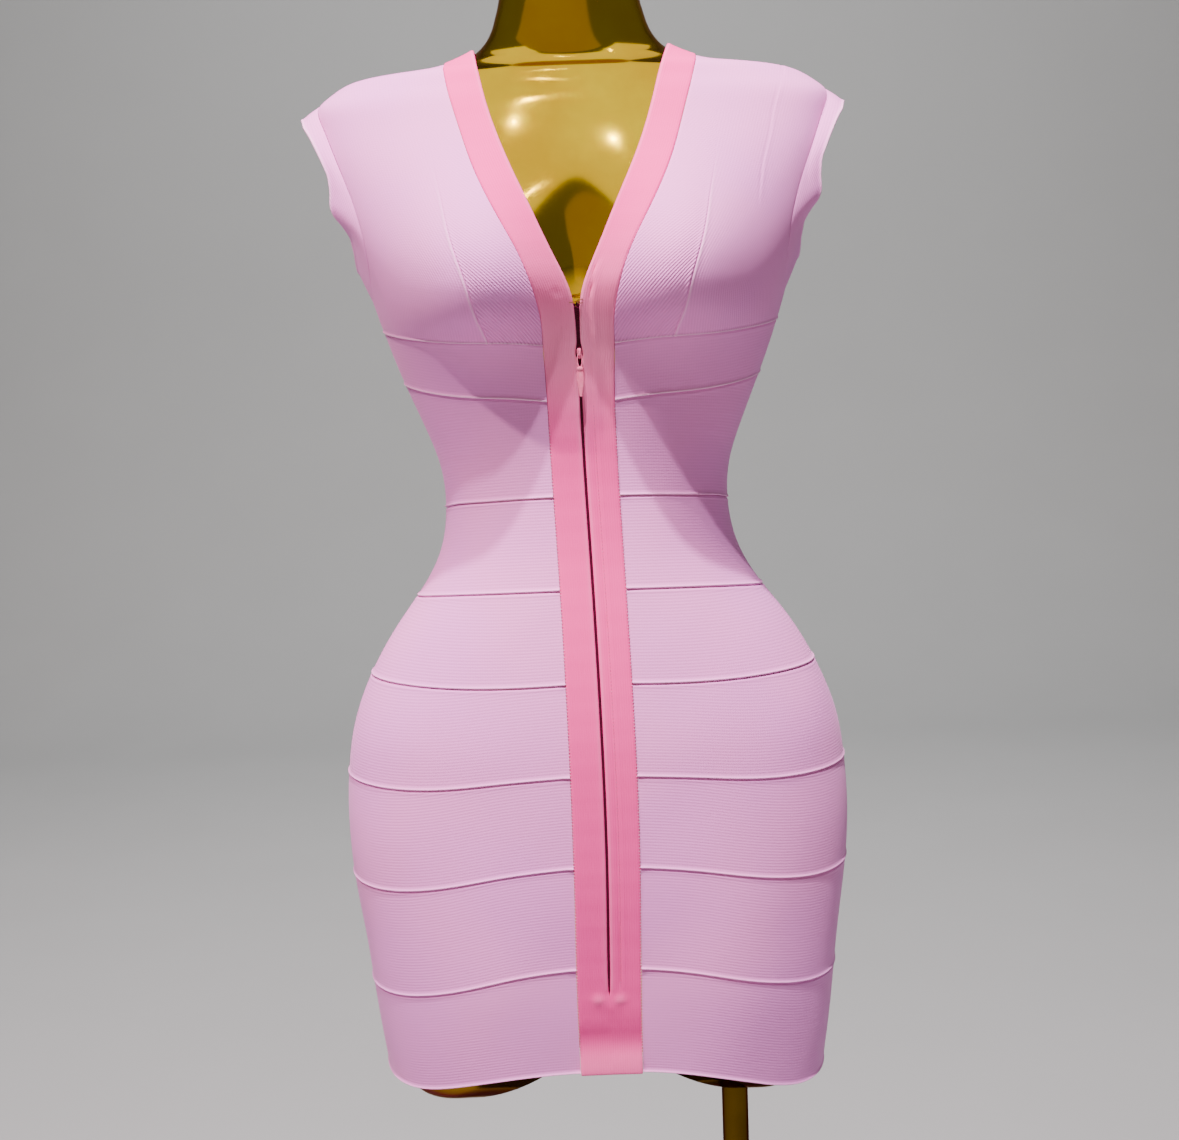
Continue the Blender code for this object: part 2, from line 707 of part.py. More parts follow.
def build_front_bodice(shop, name, side):
    """A front bodice piece with its bust dart, from the trim's edge to the armhole."""
    across = CUP_SHARES
    rows = neckline_rows()
    height = rows[:, 3]
    left = np.stack(onto_skin(side * (rows[:, 2] + GAP) + zip_centre(height), height), -1)
    left[0, 1] = station(seam_height("underbust", left[0, 0]) + GAP / 2)
    right = side_edge(True) * (side, 1)
    foot_angle = left[0, 0] + (right[0, 0] - left[0, 0]) * across
    foot_at = station(seam_height("underbust", foot_angle) + GAP / 2)
    foot = np.stack([foot_angle, foot_at], -1)
    top = left[-1] + (right[-1] - left[-1]) * across[:, None]
    grid = coons(left, right, foot, top, BODICE_SHARES, across)
    relief = np.repeat(BODICE_RELIEF[:, None], len(across), 1)
    on_dart = np.argmin(np.abs(across - DART_SHARE))
    dart = DART_RIDGE * np.clip((DART_TOP - BODICE_SHARES) / 0.1, 0, 1)
    relief[:, on_dart] = np.maximum(relief[:, on_dart], dart)
    mesh = skin_wall(name, grid[..., 0], grid[..., 1], 0.0, BAND_WALL, relief)
    shop.add(name, mesh, "bandage_knit")


def back_neck(corner, lowest):
    """Angles and stations of a back neck line, from one shoulder's ridge over the back."""
    share = np.linspace(0, 1, BACK_NECK_COLUMNS)
    turn = math.pi * share - BACK_NECK_CROWDING / 2 * np.sin(2 * math.pi * share)
    x, height = corner
    height = lowest + (height - lowest) * np.abs(np.cos(turn)) ** BACK_NECK_POWER
    x = x * np.cos(turn)
    at = station(height)
    at[[0, -1]] = shoulder_station(x[0])
    angle = np.abs(angle_at_x(x, at, front=False))
    angle[0] = side_angle(at[0], 1)
    angle[-1] = angle[0]
    angle = np.where(x < -1e-9, 2 * math.pi - angle, angle)
    return np.stack([angle, at], -1)


def build_back_bodice(shop, name):
    """The back in one piece, from side seam to side seam and up to the back neck."""
    columns = 2 * SHOULDER_COLUMNS + BACK_NECK_COLUMNS
    across = np.linspace(0, 1, columns)
    left = side_edge(False)
    right = np.stack([2 * math.pi - left[:, 0], left[:, 1]], -1)
    foot_angle = left[0, 0] + (right[0, 0] - left[0, 0]) * across
    foot = np.stack([foot_angle, station(seam_height("underbust", foot_angle) + GAP / 2)], -1)
    corner = (NECKLINE_TRIM[0][2] + BACK_NECK_GAP, NECKLINE_TRIM[0][3] - BACK_NECK_GAP / 2)
    neck = back_neck(corner, BACK_NECK_OUTER - BACK_NECK_GAP)
    shares = np.linspace(0, 1, SHOULDER_COLUMNS, endpoint=False)[:, None]
    shoulder_at = left[-1, 1] + (neck[0, 1] - left[-1, 1]) * shares[:, 0]
    shoulder = np.stack([side_angle(shoulder_at, 1), shoulder_at], -1)
    far_shoulder = np.stack([2 * math.pi - shoulder[::-1, 0], shoulder[::-1, 1]], -1)
    top = np.concatenate([shoulder, neck, far_shoulder])
    grid = coons(left, right, foot, top, BODICE_SHARES, across)
    relief = BODICE_RELIEF[:, None]
    shop.add(name, skin_wall(name, grid[..., 0], grid[..., 1], 0.0, BAND_WALL, relief),
             "bandage_knit")


def build_back_neck_binding(shop, name):
    """The strip that binds the back neck between the shoulder seams."""
    inner = back_neck(NECKLINE_TRIM[0][:2], BACK_NECK_INNER)
    outer = back_neck(NECKLINE_TRIM[0][2:], BACK_NECK_OUTER)
    grid = inner + (outer - inner) * np.linspace(0, 1, 3)[:, None, None]
    mesh = skin_wall(name, grid[..., 0], grid[..., 1], TRIM_RISE, TRIM_WALL)
    shop.add(name, mesh, "deep_pink_trim")


# ------------------------------------------------------------------ cap sleeves
def build_sleeve_band(shop, name, side):
    """The cap sleeve's band, lofted from the armhole seam out to its free edge."""
    forward = ARMHOLE_TURNS
    back = ARMHOLE_TURNS[-2:0:-1]
    seam = np.concatenate([
        skin(*armhole(forward, True, ARMHOLE_SHRINK)),
        skin(*armhole(back, False, ARMHOLE_SHRINK)),
    ])
    turn = np.concatenate([forward, back])
    facing = np.concatenate([-np.ones(len(forward)), np.ones(len(back))])
    table = np.array(CAP_EDGE)
    edge = np.stack([
        np.interp(np.degrees(turn), table[:, 0], table[:, 1]),
        facing * CAP_HALF_DEPTH * np.sin(turn),
        CAP_FOOT + (CAP_TOP - CAP_FOOT) * (1 + np.cos(turn)) / 2,
    ], -1)
    out = np.linspace(0, 1, SLEEVE_ROWS)[:, None, None]
    centre = edge.mean(0)
    away = edge - centre
    away[:, 0] = 0
    away /= np.linalg.norm(away, axis=1, keepdims=True)
    outer = seam + (edge - seam) * out + away * CAP_BULGE * 4 * out * (1 - out)
    round_way = np.roll(outer, -1, axis=1) - np.roll(outer, 1, axis=1)
    normal = np.cross(round_way, np.gradient(outer, axis=0))
    normal /= np.linalg.norm(normal, axis=-1, keepdims=True)
    normal *= np.sign((normal * away).sum(-1, keepdims=True))
    inner = outer - normal * BAND_WALL
    mirror = np.array([side, 1, 1])
    shop.add(name, wall(name, outer * mirror, inner * mirror, ring=True), "bandage_knit")


# ------------------------------------------------------------------ trim and zip
def trim_lower_heights():
    """Heights of the trim's rows below the underbust, with close rows round the slider."""
    plain = np.linspace(ZIP_TRIM[-1][0], TRIM_LOWER_TOP, TRIM_LOWER_ROWS)
    nest = SLIDER_HEIGHT + SLIDER_ROW_STEP * np.array([-2, -1, 0, 1])
    return np.concatenate([plain, nest])


def trim_rows():
    """All the trim's rows, hem first: inner edge x and height, outer edge x and height."""
    height = trim_lower_heights()
    table = np.array(ZIP_TRIM)
    edges = [np.interp(-height, -table[:, 0], table[:, k]) for k in (1, 2)]
    lower = np.stack([edges[0], height, edges[1], height], -1)
    rows = np.concatenate([lower, neckline_rows()])
    rows[:, 0] += SLIDER_SPREAD * slider_bump(rows[:, 1])
    return rows


def build_front_trim(shop, name, side):
    """The trim in one strip from the shoulder seam round the neckline and down to the hem."""
    rows = trim_rows()
    across = np.linspace(0, 1, 3)
    x = rows[:, 0:1] + (rows[:, 2:3] - rows[:, 0:1]) * across
    height = rows[:, 1:2] + (rows[:, 3:4] - rows[:, 1:2]) * across
    angle, at = onto_skin(side * x + zip_centre(height), height)
    shop.add(name, skin_wall(name, angle, at, TRIM_RISE, TRIM_WALL), "deep_pink_trim")


def build_zip_tape(shop, name, side):
    """One zip tape, behind the trim. Above the slider the tapes part."""
    height = trim_rows()[1:, 1]
    height = height[height < ZIP_TOP]
    parting = TAPE_PARTING * np.clip(height - TAPE_PARTS_FROM, 0, None)
    x = np.stack([TAPE_INNER + parting, np.full(len(height), TAPE_OUTER)], -1)
    centre = zip_centre(height)[:, None]
    at = np.repeat(station(height)[:, None], 2, 1)
    angle = angle_at_x(side * x + centre, at)
    lift = TRIM_RISE - TRIM_WALL - TAPE_GAP
    shop.add(name, skin_wall(name, angle, at, lift, TAPE_WALL), "zip_tape")


def build_slider(shop):
    """The zip's slider: its face plate and crown in front of the tapes, its keeper behind."""
    place = skin_frame(zip_centre(SLIDER_HEIGHT), SLIDER_HEIGHT)

    def plate(name, size, low, high):
        return block(name, (size[0], high - low, size[1]), (0, -(low + high) / 2, 0))

    face = plate("zip_slider", PLATE_SIZE, PLATE_IN, PLATE_OUT)
    slider = shop.add("zip_slider", face, "painted_metal", place)
    turn = np.linspace(-0.1, math.pi + 0.1, CROWN_POINTS)
    crown = np.stack([
        np.zeros(CROWN_POINTS),
        -PLATE_OUT - CROWN_RADIUS * np.sin(turn),
        CROWN_RADIUS * np.cos(turn),
    ], -1)
    shop.combine(slider, wire("crown", crown, CROWN_WIRE), "UNION")
    shop.combine(slider, plate("post", POST_SIZE, KEEPER_IN / 2 + KEEPER_OUT / 2, 0), "UNION")
    shop.combine(slider, plate("keeper", KEEPER_SIZE, KEEPER_IN, KEEPER_OUT), "UNION")


def build_pull(shop):
    """The drop-shaped pull. It hangs on the crown, and its origin is its hinge line."""
    table = np.array(PULL_OUTLINE)
    drop = np.linspace(table[0, 0], table[-1, 0], PULL_POINTS)
    half_width = spline(table[:, 0], table[:, 1])(drop)[:, 0]
    zero = np.zeros(PULL_POINTS)
    down = np.stack([half_width, -drop, zero], -1)
    up = np.stack([-half_width, -drop, zero], -1)[::-1]
    window = [
        (-WINDOW_HALF_WIDTH, -WINDOW_TOP, 0),
        (WINDOW_HALF_WIDTH, -WINDOW_TOP, 0),
        (WINDOW_HALF_WIDTH, -WINDOW_FOOT, 0),
        (-WINDOW_HALF_WIDTH, -WINDOW_FOOT, 0),
    ]
    outline = bpy.data.curves.new("zip_pull", "CURVE")
    outline.dimensions = "2D"
    outline.fill_mode = "BOTH"
    outline.extrude = PULL_THICKNESS / 2
    add_polyline(outline, np.concatenate([down, up]), closed=True)
    add_polyline(outline, window, closed=True)
    mesh = curve_mesh("zip_pull", outline)
    mesh.transform(Matrix.Rotation(math.pi / 2, 4, "X"))
    pivot = skin_frame(zip_centre(SLIDER_HEIGHT), SLIDER_HEIGHT, PIVOT_OUT).translation
    shop.add("zip_pull", mesh, "painted_metal", Matrix.Translation(pivot))


def build_hook_and_eye(shop):
    """The wire hook and its eye, sewn inside the trim at the zip's top."""
    place = skin_frame(zip_centre(HOOK_HEIGHT), HOOK_HEIGHT)
    for name, path in (("hook", HOOK_PATH), ("eye", EYE_PATH)):
        points = [(across, -lift, height) for across, lift, height in path]
        shop.add(name, wire(name, points, HOOK_WIRE), "painted_metal", place)


# ------------------------------------------------------------------ dress form and stand
def form_angles():
    """Columns round the form: the centre front, then where the bands' columns stand."""
    front = np.linspace(CENTRE_STRIP, math.pi / 2, FRONT_BAND_COLUMNS)[:-1]
    back = np.linspace(math.pi / 2, 3 * math.pi / 2, BACK_BAND_COLUMNS)
    return np.concatenate([[0.0], front, back, 2 * math.pi - front[::-1]])


def neck_ring(row, angle):
    """A level elliptic ring of the neck."""
    height, half_width, front, back = row
    depth = np.where(np.cos(angle) >= 0, front, back)
    radius = 1 / np.hypot(np.sin(angle) / half_width, np.cos(angle) / depth)
    ring = [radius * np.sin(angle), -radius * np.cos(angle), np.full(len(angle), height)]
    return np.stack(ring, -1)


def body_rings(angle):
    """Rings of the form's body, thighs first, flattened at the arm plates, then the neck."""
    span = np.linspace(station(FORM_FOOT), shoulder_station(FORM_SHOULDER_HALF_WIDTH), FORM_ROWS)
    rings = skin(angle[None], span[:, None], -FORM_INSET)
    rings[..., 0] = np.clip(rings[..., 0], -ARM_PLATE, ARM_PLATE)
    last = rings[-1]
    neck = [neck_ring(row, angle) for row in NECK]
    hug = last + (neck[0] - last) * (NECK_HUG, NECK_HUG, NECK_LIFT)
    blend = [(1 - t) ** 2 * last + 2 * t * (1 - t) * hug + t**2 * neck[0] for t in NECK_BLEND]
    return [*rings, *blend, *neck]


def stub_rings(loop, side):
    """Rings of a thigh stub: its top outline shrinks to a point along a superellipse."""
    start = np.array([side * STUB_TOP_CENTRE[0], STUB_TOP_CENTRE[1]])
    end = np.array([side * STUB_FOOT_CENTRE[0], STUB_FOOT_CENTRE[1]])
    rings = []
    for depth in STUB_DEPTHS:
        centre = start + (end - start) * depth**2
        ring = loop.copy()
        scale = (1 - depth**STUB_POWER) ** (1 / STUB_POWER)
        ring[:, :2] = centre + (loop[:, :2] - start) * scale
        ring[:, 2] = loop[:, 2] + (STUB_FOOT - loop[:, 2]) * depth
        rings.append(ring)
    return rings, (*end, STUB_FOOT)


def join_rings(bm, lower, upper):
    """Faces between two closed rings of the same number of corners."""
    count = len(lower)
    for j in range(count):
        k = (j + 1) % count
        bm.faces.new((lower[j], lower[k], upper[k], upper[j]))


def build_form(shop):
    """The limbless form: neck, body and two thigh stubs in one skin, bored for the pole."""
    angle = form_angles()
    half = len(angle) // 2
    bm = bmesh.new()
    rings = body_rings(angle)
    corners = [[bm.verts.new(point) for point in ring] for ring in rings]
    for lower, upper in zip(corners, corners[1:]):
        join_rings(bm, lower, upper)
    bm.faces.new(corners[-1])
    shares = np.linspace(0, 1, CROTCH_POINTS + 2)[1:-1, None]
    crotch = rings[0][0] + (rings[0][half] - rings[0][0]) * shares
    crotch_corners = [bm.verts.new(point) for point in crotch]
    left = np.concatenate([rings[0][: half + 1], crotch[::-1]])
    right = np.concatenate([rings[0][half:], rings[0][:1], crotch])
    left_corners = corners[0][: half + 1] + crotch_corners[::-1]
    right_corners = corners[0][half:] + corners[0][:1] + crotch_corners
    for side, loop, upper in ((1, left, left_corners), (-1, right, right_corners)):
        stub, foot = stub_rings(loop, side)
        for ring in stub:
            lower = [bm.verts.new(point) for point in ring]
            join_rings(bm, lower, upper)
            upper = lower
        tip = bm.verts.new(foot)
        for j, corner in enumerate(upper):
            bm.faces.new((corner, upper[(j + 1) % len(upper)], tip))
    form = shop.add("dress_form", finish_mesh("dress_form", bm), "gold_form")
    socket = cylinder("pole_socket", POLE_RADIUS + GAP, STUB_FOOT - 0.02, SOCKET_TOP, POLE_AT, 24)
    shop.combine(form, socket, "DIFFERENCE")


def build_stand(shop):
    """The round base plate, the collar that holds the pole, and the pole."""
    base = shop.add("base_plate", cylinder("base_plate", BASE_RADIUS, 0, BASE_THICKNESS, segments=48),
                    "gold_plated_steel")
    edge = base.modifiers.new("Edge", "BEVEL")
    edge.width = BASE_EDGE
    edge.limit_method = "ANGLE"
    foot = BASE_THICKNESS + GAP
    pole = cylinder("pole", POLE_RADIUS, foot, POLE_TOP, POLE_AT, 24)
    shop.add("pole", pole, "gold_plated_steel")
    ring = cylinder("pole_collar", COLLAR_RADIUS, foot, foot + COLLAR_HEIGHT, POLE_AT)
    collar = shop.add("pole_collar", ring, "gold_plated_steel")
    bore = cylinder("collar_bore", POLE_RADIUS + GAP, 0, 2 * COLLAR_HEIGHT + foot, POLE_AT, 24)
    shop.combine(collar, bore, "DIFFERENCE")


def main():
    """Builds every piece."""
    for thing in list(bpy.data.objects):
        bpy.data.objects.remove(thing)
    shop = Workshop()
    build_bands(shop)
    build_back_bodice(shop, "bodice_back")
    build_back_neck_binding(shop, "back_neck_binding")
    for word, side in (("left", 1), ("right", -1)):
        build_front_bodice(shop, f"bodice_{word}", side)
        build_sleeve_band(shop, f"sleeve_band_{word}", side)
        build_front_trim(shop, f"front_trim_{word}", side)
        build_zip_tape(shop, f"zip_tape_{word}", side)
    build_slider(shop)
    build_pull(shop)
    build_hook_and_eye(shop)
    build_form(shop)
    build_stand(shop)


if __name__ == "__main__":
    main()
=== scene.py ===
"""The looks of a bandage-knit bodycon dress with a front zip, on a gold limbless dress form.

Metres, +Z up, the wearer's front faces -Y and the wearer's left is +X. Every cloth piece is a thin
closed wall between two grids of points. The grids lie on one reference skin, which names a point by
its angle round the body and its station up the side outline, and are lifted off it along its normal.
"""

import logging
import math
from collections.abc import Sequence
from dataclasses import dataclass
from enum import Enum
from itertools import pairwise

import bmesh
import bpy
import numpy as np
from mathutils import Matrix
from numpy.typing import NDArray


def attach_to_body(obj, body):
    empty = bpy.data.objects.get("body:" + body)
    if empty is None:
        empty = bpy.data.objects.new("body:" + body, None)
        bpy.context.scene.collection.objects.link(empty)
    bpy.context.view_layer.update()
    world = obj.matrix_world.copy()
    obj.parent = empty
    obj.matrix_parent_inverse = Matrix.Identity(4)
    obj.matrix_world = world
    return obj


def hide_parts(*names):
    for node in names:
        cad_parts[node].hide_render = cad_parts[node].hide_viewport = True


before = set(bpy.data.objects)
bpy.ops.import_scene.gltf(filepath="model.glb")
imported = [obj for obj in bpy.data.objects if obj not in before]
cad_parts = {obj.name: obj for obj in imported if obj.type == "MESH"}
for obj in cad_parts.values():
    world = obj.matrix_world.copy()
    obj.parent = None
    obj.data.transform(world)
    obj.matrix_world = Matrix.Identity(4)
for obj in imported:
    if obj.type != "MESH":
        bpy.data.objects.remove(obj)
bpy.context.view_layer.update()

Array = NDArray[np.float64]
Material = bpy.types.Material
Piece = bpy.types.Object
Socket = bpy.types.NodeSocket
Colour = tuple[float, float, float, float]
Pair = tuple[float, float]
Place = tuple[float, float, float]
Row = tuple[float, ...]
Faces = NDArray[np.int64]
Table = tuple[Row, ...]
Block = tuple[Place, Place, float]
LOG = logging.getLogger("bodycon_dress")
BODY = "dress_and_stand"
PULL_BODY = "pull_tab"
MM = 0.001
SIDES = (("left", 1), ("right", -1))
UV_MAP = "knit"
SHARP_FOLD = math.radians(50)
PEBBLE_GRID = (16, 28)

# Level rings of the dress, from under the hem to the neck point of the shoulder:
# height, half width, front depth, back depth, front roundness, back roundness
SECTIONS = (
    (0.6400, 0.1640, 0.095, 0.094, 2.60, 2.50),
    (0.7000, 0.1740, 0.101, 0.101, 2.60, 2.50),
    (0.7560, 0.1805, 0.107, 0.111, 2.60, 2.50),
    (0.8060, 0.1865, 0.111, 0.122, 2.50, 2.40),
    (0.8500, 0.1922, 0.114, 0.134, 2.40, 2.40),
    (0.8900, 0.1938, 0.115, 0.142, 2.35, 2.35),
    (0.9250, 0.1918, 0.115, 0.144, 2.30, 2.30),
    (0.9550, 0.1872, 0.114, 0.140, 2.30, 2.30),
    (0.9910, 0.1745, 0.110, 0.128, 2.25, 2.25),
    (1.0340, 0.1500, 0.103, 0.107, 2.20, 2.20),
    (1.0640, 0.1280, 0.097, 0.094, 2.20, 2.20),
    (1.0890, 0.1145, 0.092, 0.085, 2.15, 2.20),
    (1.1250, 0.1076, 0.087, 0.078, 2.10, 2.20),
    (1.1540, 0.1098, 0.085, 0.078, 2.10, 2.20),
    (1.1820, 0.1190, 0.086, 0.081, 2.10, 2.20),
    (1.2130, 0.1315, 0.089, 0.086, 2.15, 2.20),
    (1.2530, 0.1460, 0.095, 0.092, 2.20, 2.30),
    (1.2850, 0.1560, 0.101, 0.098, 2.30, 2.30),
    (1.3200, 0.1690, 0.100, 0.103, 2.40, 2.40),
    (1.3550, 0.1800, 0.094, 0.104, 2.40, 2.40),
    (1.3850, 0.1870, 0.083, 0.100, 2.40, 2.40),
    (1.4080, 0.1900, 0.073, 0.093, 2.30, 2.30),
    (1.4230, 0.1890, 0.066, 0.086, 2.20, 2.20),
    (1.4310, 0.1810, 0.061, 0.081, 2.10, 2.10),
    (1.4395, 0.1670, 0.057, 0.076, 2.00, 2.00),
    (1.4440, 0.1480, 0.054, 0.071, 2.00, 2.00),
    (1.4470, 0.1190, 0.051, 0.066, 2.00, 2.00),
    (1.4515, 0.0960, 0.048, 0.061, 2.00, 2.00),
    (1.4615, 0.0715, 0.046, 0.057, 2.00, 2.00),
)
# Heights of the seams between the bands at these angles from the centre front, in degrees
SEAM_ANGLES = (12, 35, 50, 65, 90, 130, 180)
SEAMS = {
    "underbust": (1.2445, 1.2480, 1.2490, 1.2520, 1.2590, 1.2600, 1.2560),
    "rib": (1.2035, 1.2075, 1.2090, 1.2125, 1.2195, 1.2190, 1.2130),
    "waist": (1.1360, 1.1345, 1.1325, 1.1300, 1.1240, 1.1270, 1.1310),
    "high_hip": (1.0695, 1.0680, 1.0660, 1.0630, 1.0570, 1.0580, 1.0610),
    "hip": (1.0030, 1.0010, 1.0003, 1.0003, 0.9990, 0.9930, 0.9900),
    "seat": (0.9365, 0.9320, 0.9270, 0.9243, 0.9240, 0.9170, 0.9150),
    "upper_thigh": (0.8690, 0.8625, 0.8535, 0.8462, 0.8460, 0.8420, 0.8420),
    "thigh": (0.7915, 0.7850, 0.7740, 0.7640, 0.7630, 0.7650, 0.7690),
    "hem": (0.7097, 0.7057, 0.6965, 0.6845, 0.6870, 0.6880, 0.6900),
}
HEM_LEAN = 0.0055  # the hem hangs this much lower at the wearer's left side, higher at the right
# The bands from the bust down, each between two neighbouring seams
BANDS = ("ribcage", "midriff", "waist", "high_hip", "hip", "seat", "thigh", "hem")
# The trim down one side of the neckline, underbust first:
# inner edge x and height, outer edge x and height
NECKLINE_TRIM = (
    (0.0012, 1.2445, 0.0250, 1.2445),
    (0.0016, 1.2600, 0.0253, 1.2600),
    (0.0030, 1.2770, 0.0276, 1.2750),
    (0.0144, 1.3070, 0.0354, 1.3020),
    (0.0300, 1.3420, 0.0508, 1.3330),
    (0.0478, 1.3830, 0.0693, 1.3720),
    (0.0590, 1.4170, 0.0797, 1.4040),
    (0.0650, 1.4400, 0.0870, 1.4290),
    (0.0715, 1.4615, 0.0925, 1.4528),
)
# The trim along the zip: height, inner edge x, outer edge x
ZIP_TRIM = (
    (1.2445, 0.0012, 0.0250),
    (1.2000, 0.0010, 0.0238),
    (1.0500, 0.0010, 0.0236),
    (0.9000, 0.0010, 0.0240),
    (0.7900, 0.0010, 0.0235),
    (0.7740, 0.0006, 0.0234),
    (0.7720, 0.0000, 0.0234),
    (0.7095, 0.0000, 0.0228),
)
# The neckline leans to the wearer's right, and the zip bows to the left on its way down:
# height, shift of the centre line
ZIP_BOW = (
    (1.4615, 0.0000),
    (1.4350, -0.0016),
    (1.3900, -0.0021),
    (1.3300, -0.0026),
    (1.2900, -0.0025),
    (1.2500, -0.0018),
    (1.2060, -0.0016),
    (1.0910, 0.0014),
    (0.9800, 0.0042),
    (0.8680, 0.0048),
    (0.7740, 0.0032),
    (0.6900, 0.0032),
)


class Slot(Enum):
    """The material slots."""

    KNIT = "bandage_knit"
    TRIM = "deep_pink_trim"
    TAPE = "zip_tape"
    METAL = "painted_metal"
    FORM = "gold_form"
    STAND = "gold_plated_steel"


# ------ numbers and curves
def bell(distance: Array, width: float) -> Array:
    """A Gaussian: 1 where the distance is 0, and 1/e a width away."""
    return np.exp(-((np.asarray(distance) / width) ** 2))


def ease(share: Array) -> Array:
    """A smooth step from 0 at share 0 to 1 at share 1: 3 s^2 - 2 s^3."""
    share = np.clip(share, 0, 1)
    return share * share * (3 - 2 * share)


def running_length(points: Array) -> Array:
    """The running length along rows of points, 0 at the first."""
    steps = np.linalg.norm(np.diff(points, axis=0), axis=-1)
    return np.concatenate([np.zeros_like(steps[:1]), np.cumsum(steps, axis=0)])


def lengths(points: Array) -> tuple[Array, Array]:
    """Running lengths along the rows and up the columns of a grid of points."""
    return running_length(np.moveaxis(points, 1, 0)).T, running_length(points)


def unit(vectors: Array) -> Array:
    """Vectors scaled to length 1."""
    return vectors / np.maximum(np.linalg.norm(vectors, axis=-1, keepdims=True), 1e-12)


def round_turn(count: int) -> Array:
    """This many even angles once round."""
    return np.linspace(0, 2 * math.pi, count, endpoint=False)


def edge_rows(length: float, step: float, dense: Sequence[float]) -> Array:
    """Distances from 0 to a length: the dense ones at both ends, and even steps between.

    Args:
        length: the whole distance.
        step: the spacing away from the ends.
        dense: rising distances from an end, starting with 0.

    Returns:
        Rising distances from 0 to the length.
    """
    near = np.array(dense)
    count = max(2, round((length - 2 * near[-1]) / step) + 1)
    middle = np.linspace(near[-1], length - near[-1], count)
    return np.concatenate([near[:-1], middle, length - near[:-1][::-1]])


class Spline:
    """A natural cubic spline through rows of values at rising knots."""

    def __init__(self, knots: Sequence[float] | Array, values: Sequence | Array) -> None:
        """Solves the spline's second derivatives from the usual three-term equations.

        Args:
            knots: rising places.
            values: a value or a row of values at each.
        """
        self.knots = np.asarray(knots, float)
        self.values = np.asarray(values, float).reshape(len(self.knots), -1)
        span = np.diff(self.knots)
        slope = np.diff(self.values, axis=0) / span[:, None]
        matrix = np.eye(len(self.knots))
        inside = np.arange(1, len(self.knots) - 1)
        matrix[inside, inside - 1] = span[:-1]
        matrix[inside, inside] = 2 * (span[:-1] + span[1:])
        matrix[inside, inside + 1] = span[1:]
        right = np.zeros_like(self.values)
        right[1:-1] = 6 * np.diff(slope, axis=0)
        self.bend = np.linalg.solve(matrix, right)

    def __call__(self, at: Array) -> Array:
        """Values at these places, with the columns on a new last axis.

        Args:
            at: the places.

        Returns:
            The values.
        """
        at = np.asarray(at, float)
        i = np.clip(np.searchsorted(self.knots, at) - 1, 0, len(self.knots) - 2)
        span = (self.knots[i + 1] - self.knots[i])[..., None]
        before = (self.knots[i + 1] - at)[..., None] / span
        after = 1 - before
        curve = (before**3 - before) * self.bend[i] + (after**3 - after) * self.bend[i + 1]
        straight = before * self.values[i] + after * self.values[i + 1]
        return straight + curve * span**2 / 6


def table_run(table: Sequence[Sequence[float]], at: Array) -> Array:
    """A spline through a table of places, in either order, and values, held at its ends."""
    rows = np.array(sorted(table))
    return Spline(rows[:, 0], rows[:, 1])(np.clip(at, rows[0, 0], rows[-1, 0]))[..., 0]


@dataclass(frozen=True)
class Ridge:
    """A soft ridge along a line: its height, and its width and distance off the line in mm."""

    rise: float
    width: float
    at: float = 0.0

    def over(self, distance: Array) -> Array:
        """The ridge's height at distances from the line."""
        return self.rise * bell(distance - self.at * MM, self.width * MM)


Ridges = tuple[Ridge, ...]


def relief(ridges: Ridges, distance: Array) -> Array:
    """The height of several ridges along one line, those below 0 being grooves."""
    return sum(ridge.over(distance) for ridge in ridges)


@dataclass(frozen=True)
class Step:
    """A smooth step from 0 to 1: where it starts, and how far it runs, down if negative."""

    start: float
    run: float

    def share(self, place: Array) -> Array:
        """How far up the step these places are."""
        return ease((place - self.start) / self.run)


@dataclass(frozen=True)
class Patch:
    """A soft bump on a strip: its height, and its place and width along and across it in mm."""

    rise: float
    along: Pair
    across: Pair

    def over(self, along: Array, across: Array) -> Array:
        """The bump's height at places along and across the strip."""
        (run, long), (off, wide) = np.array([self.along, self.across]) * MM
        return self.rise * bell(along - run, long) * bell(across - off, wide)


# ------ the reference skin
@dataclass(frozen=True)
class Swelling:
    """A pair of soft bumps, one each side: a Gaussian of the distances across and along."""

    x: float
    height: float
    depth: float
    half_width: float
    up: float
    down: float

    def lift(self, x: Array, height: Array) -> Array:
        """How far the bumps push the skin out at these places."""
        along = height - self.height
        along = np.where(along > 0, along / self.up, along / self.down)
        return self.depth * bell(np.hypot((np.abs(x) - self.x) / self.half_width, along), 1)


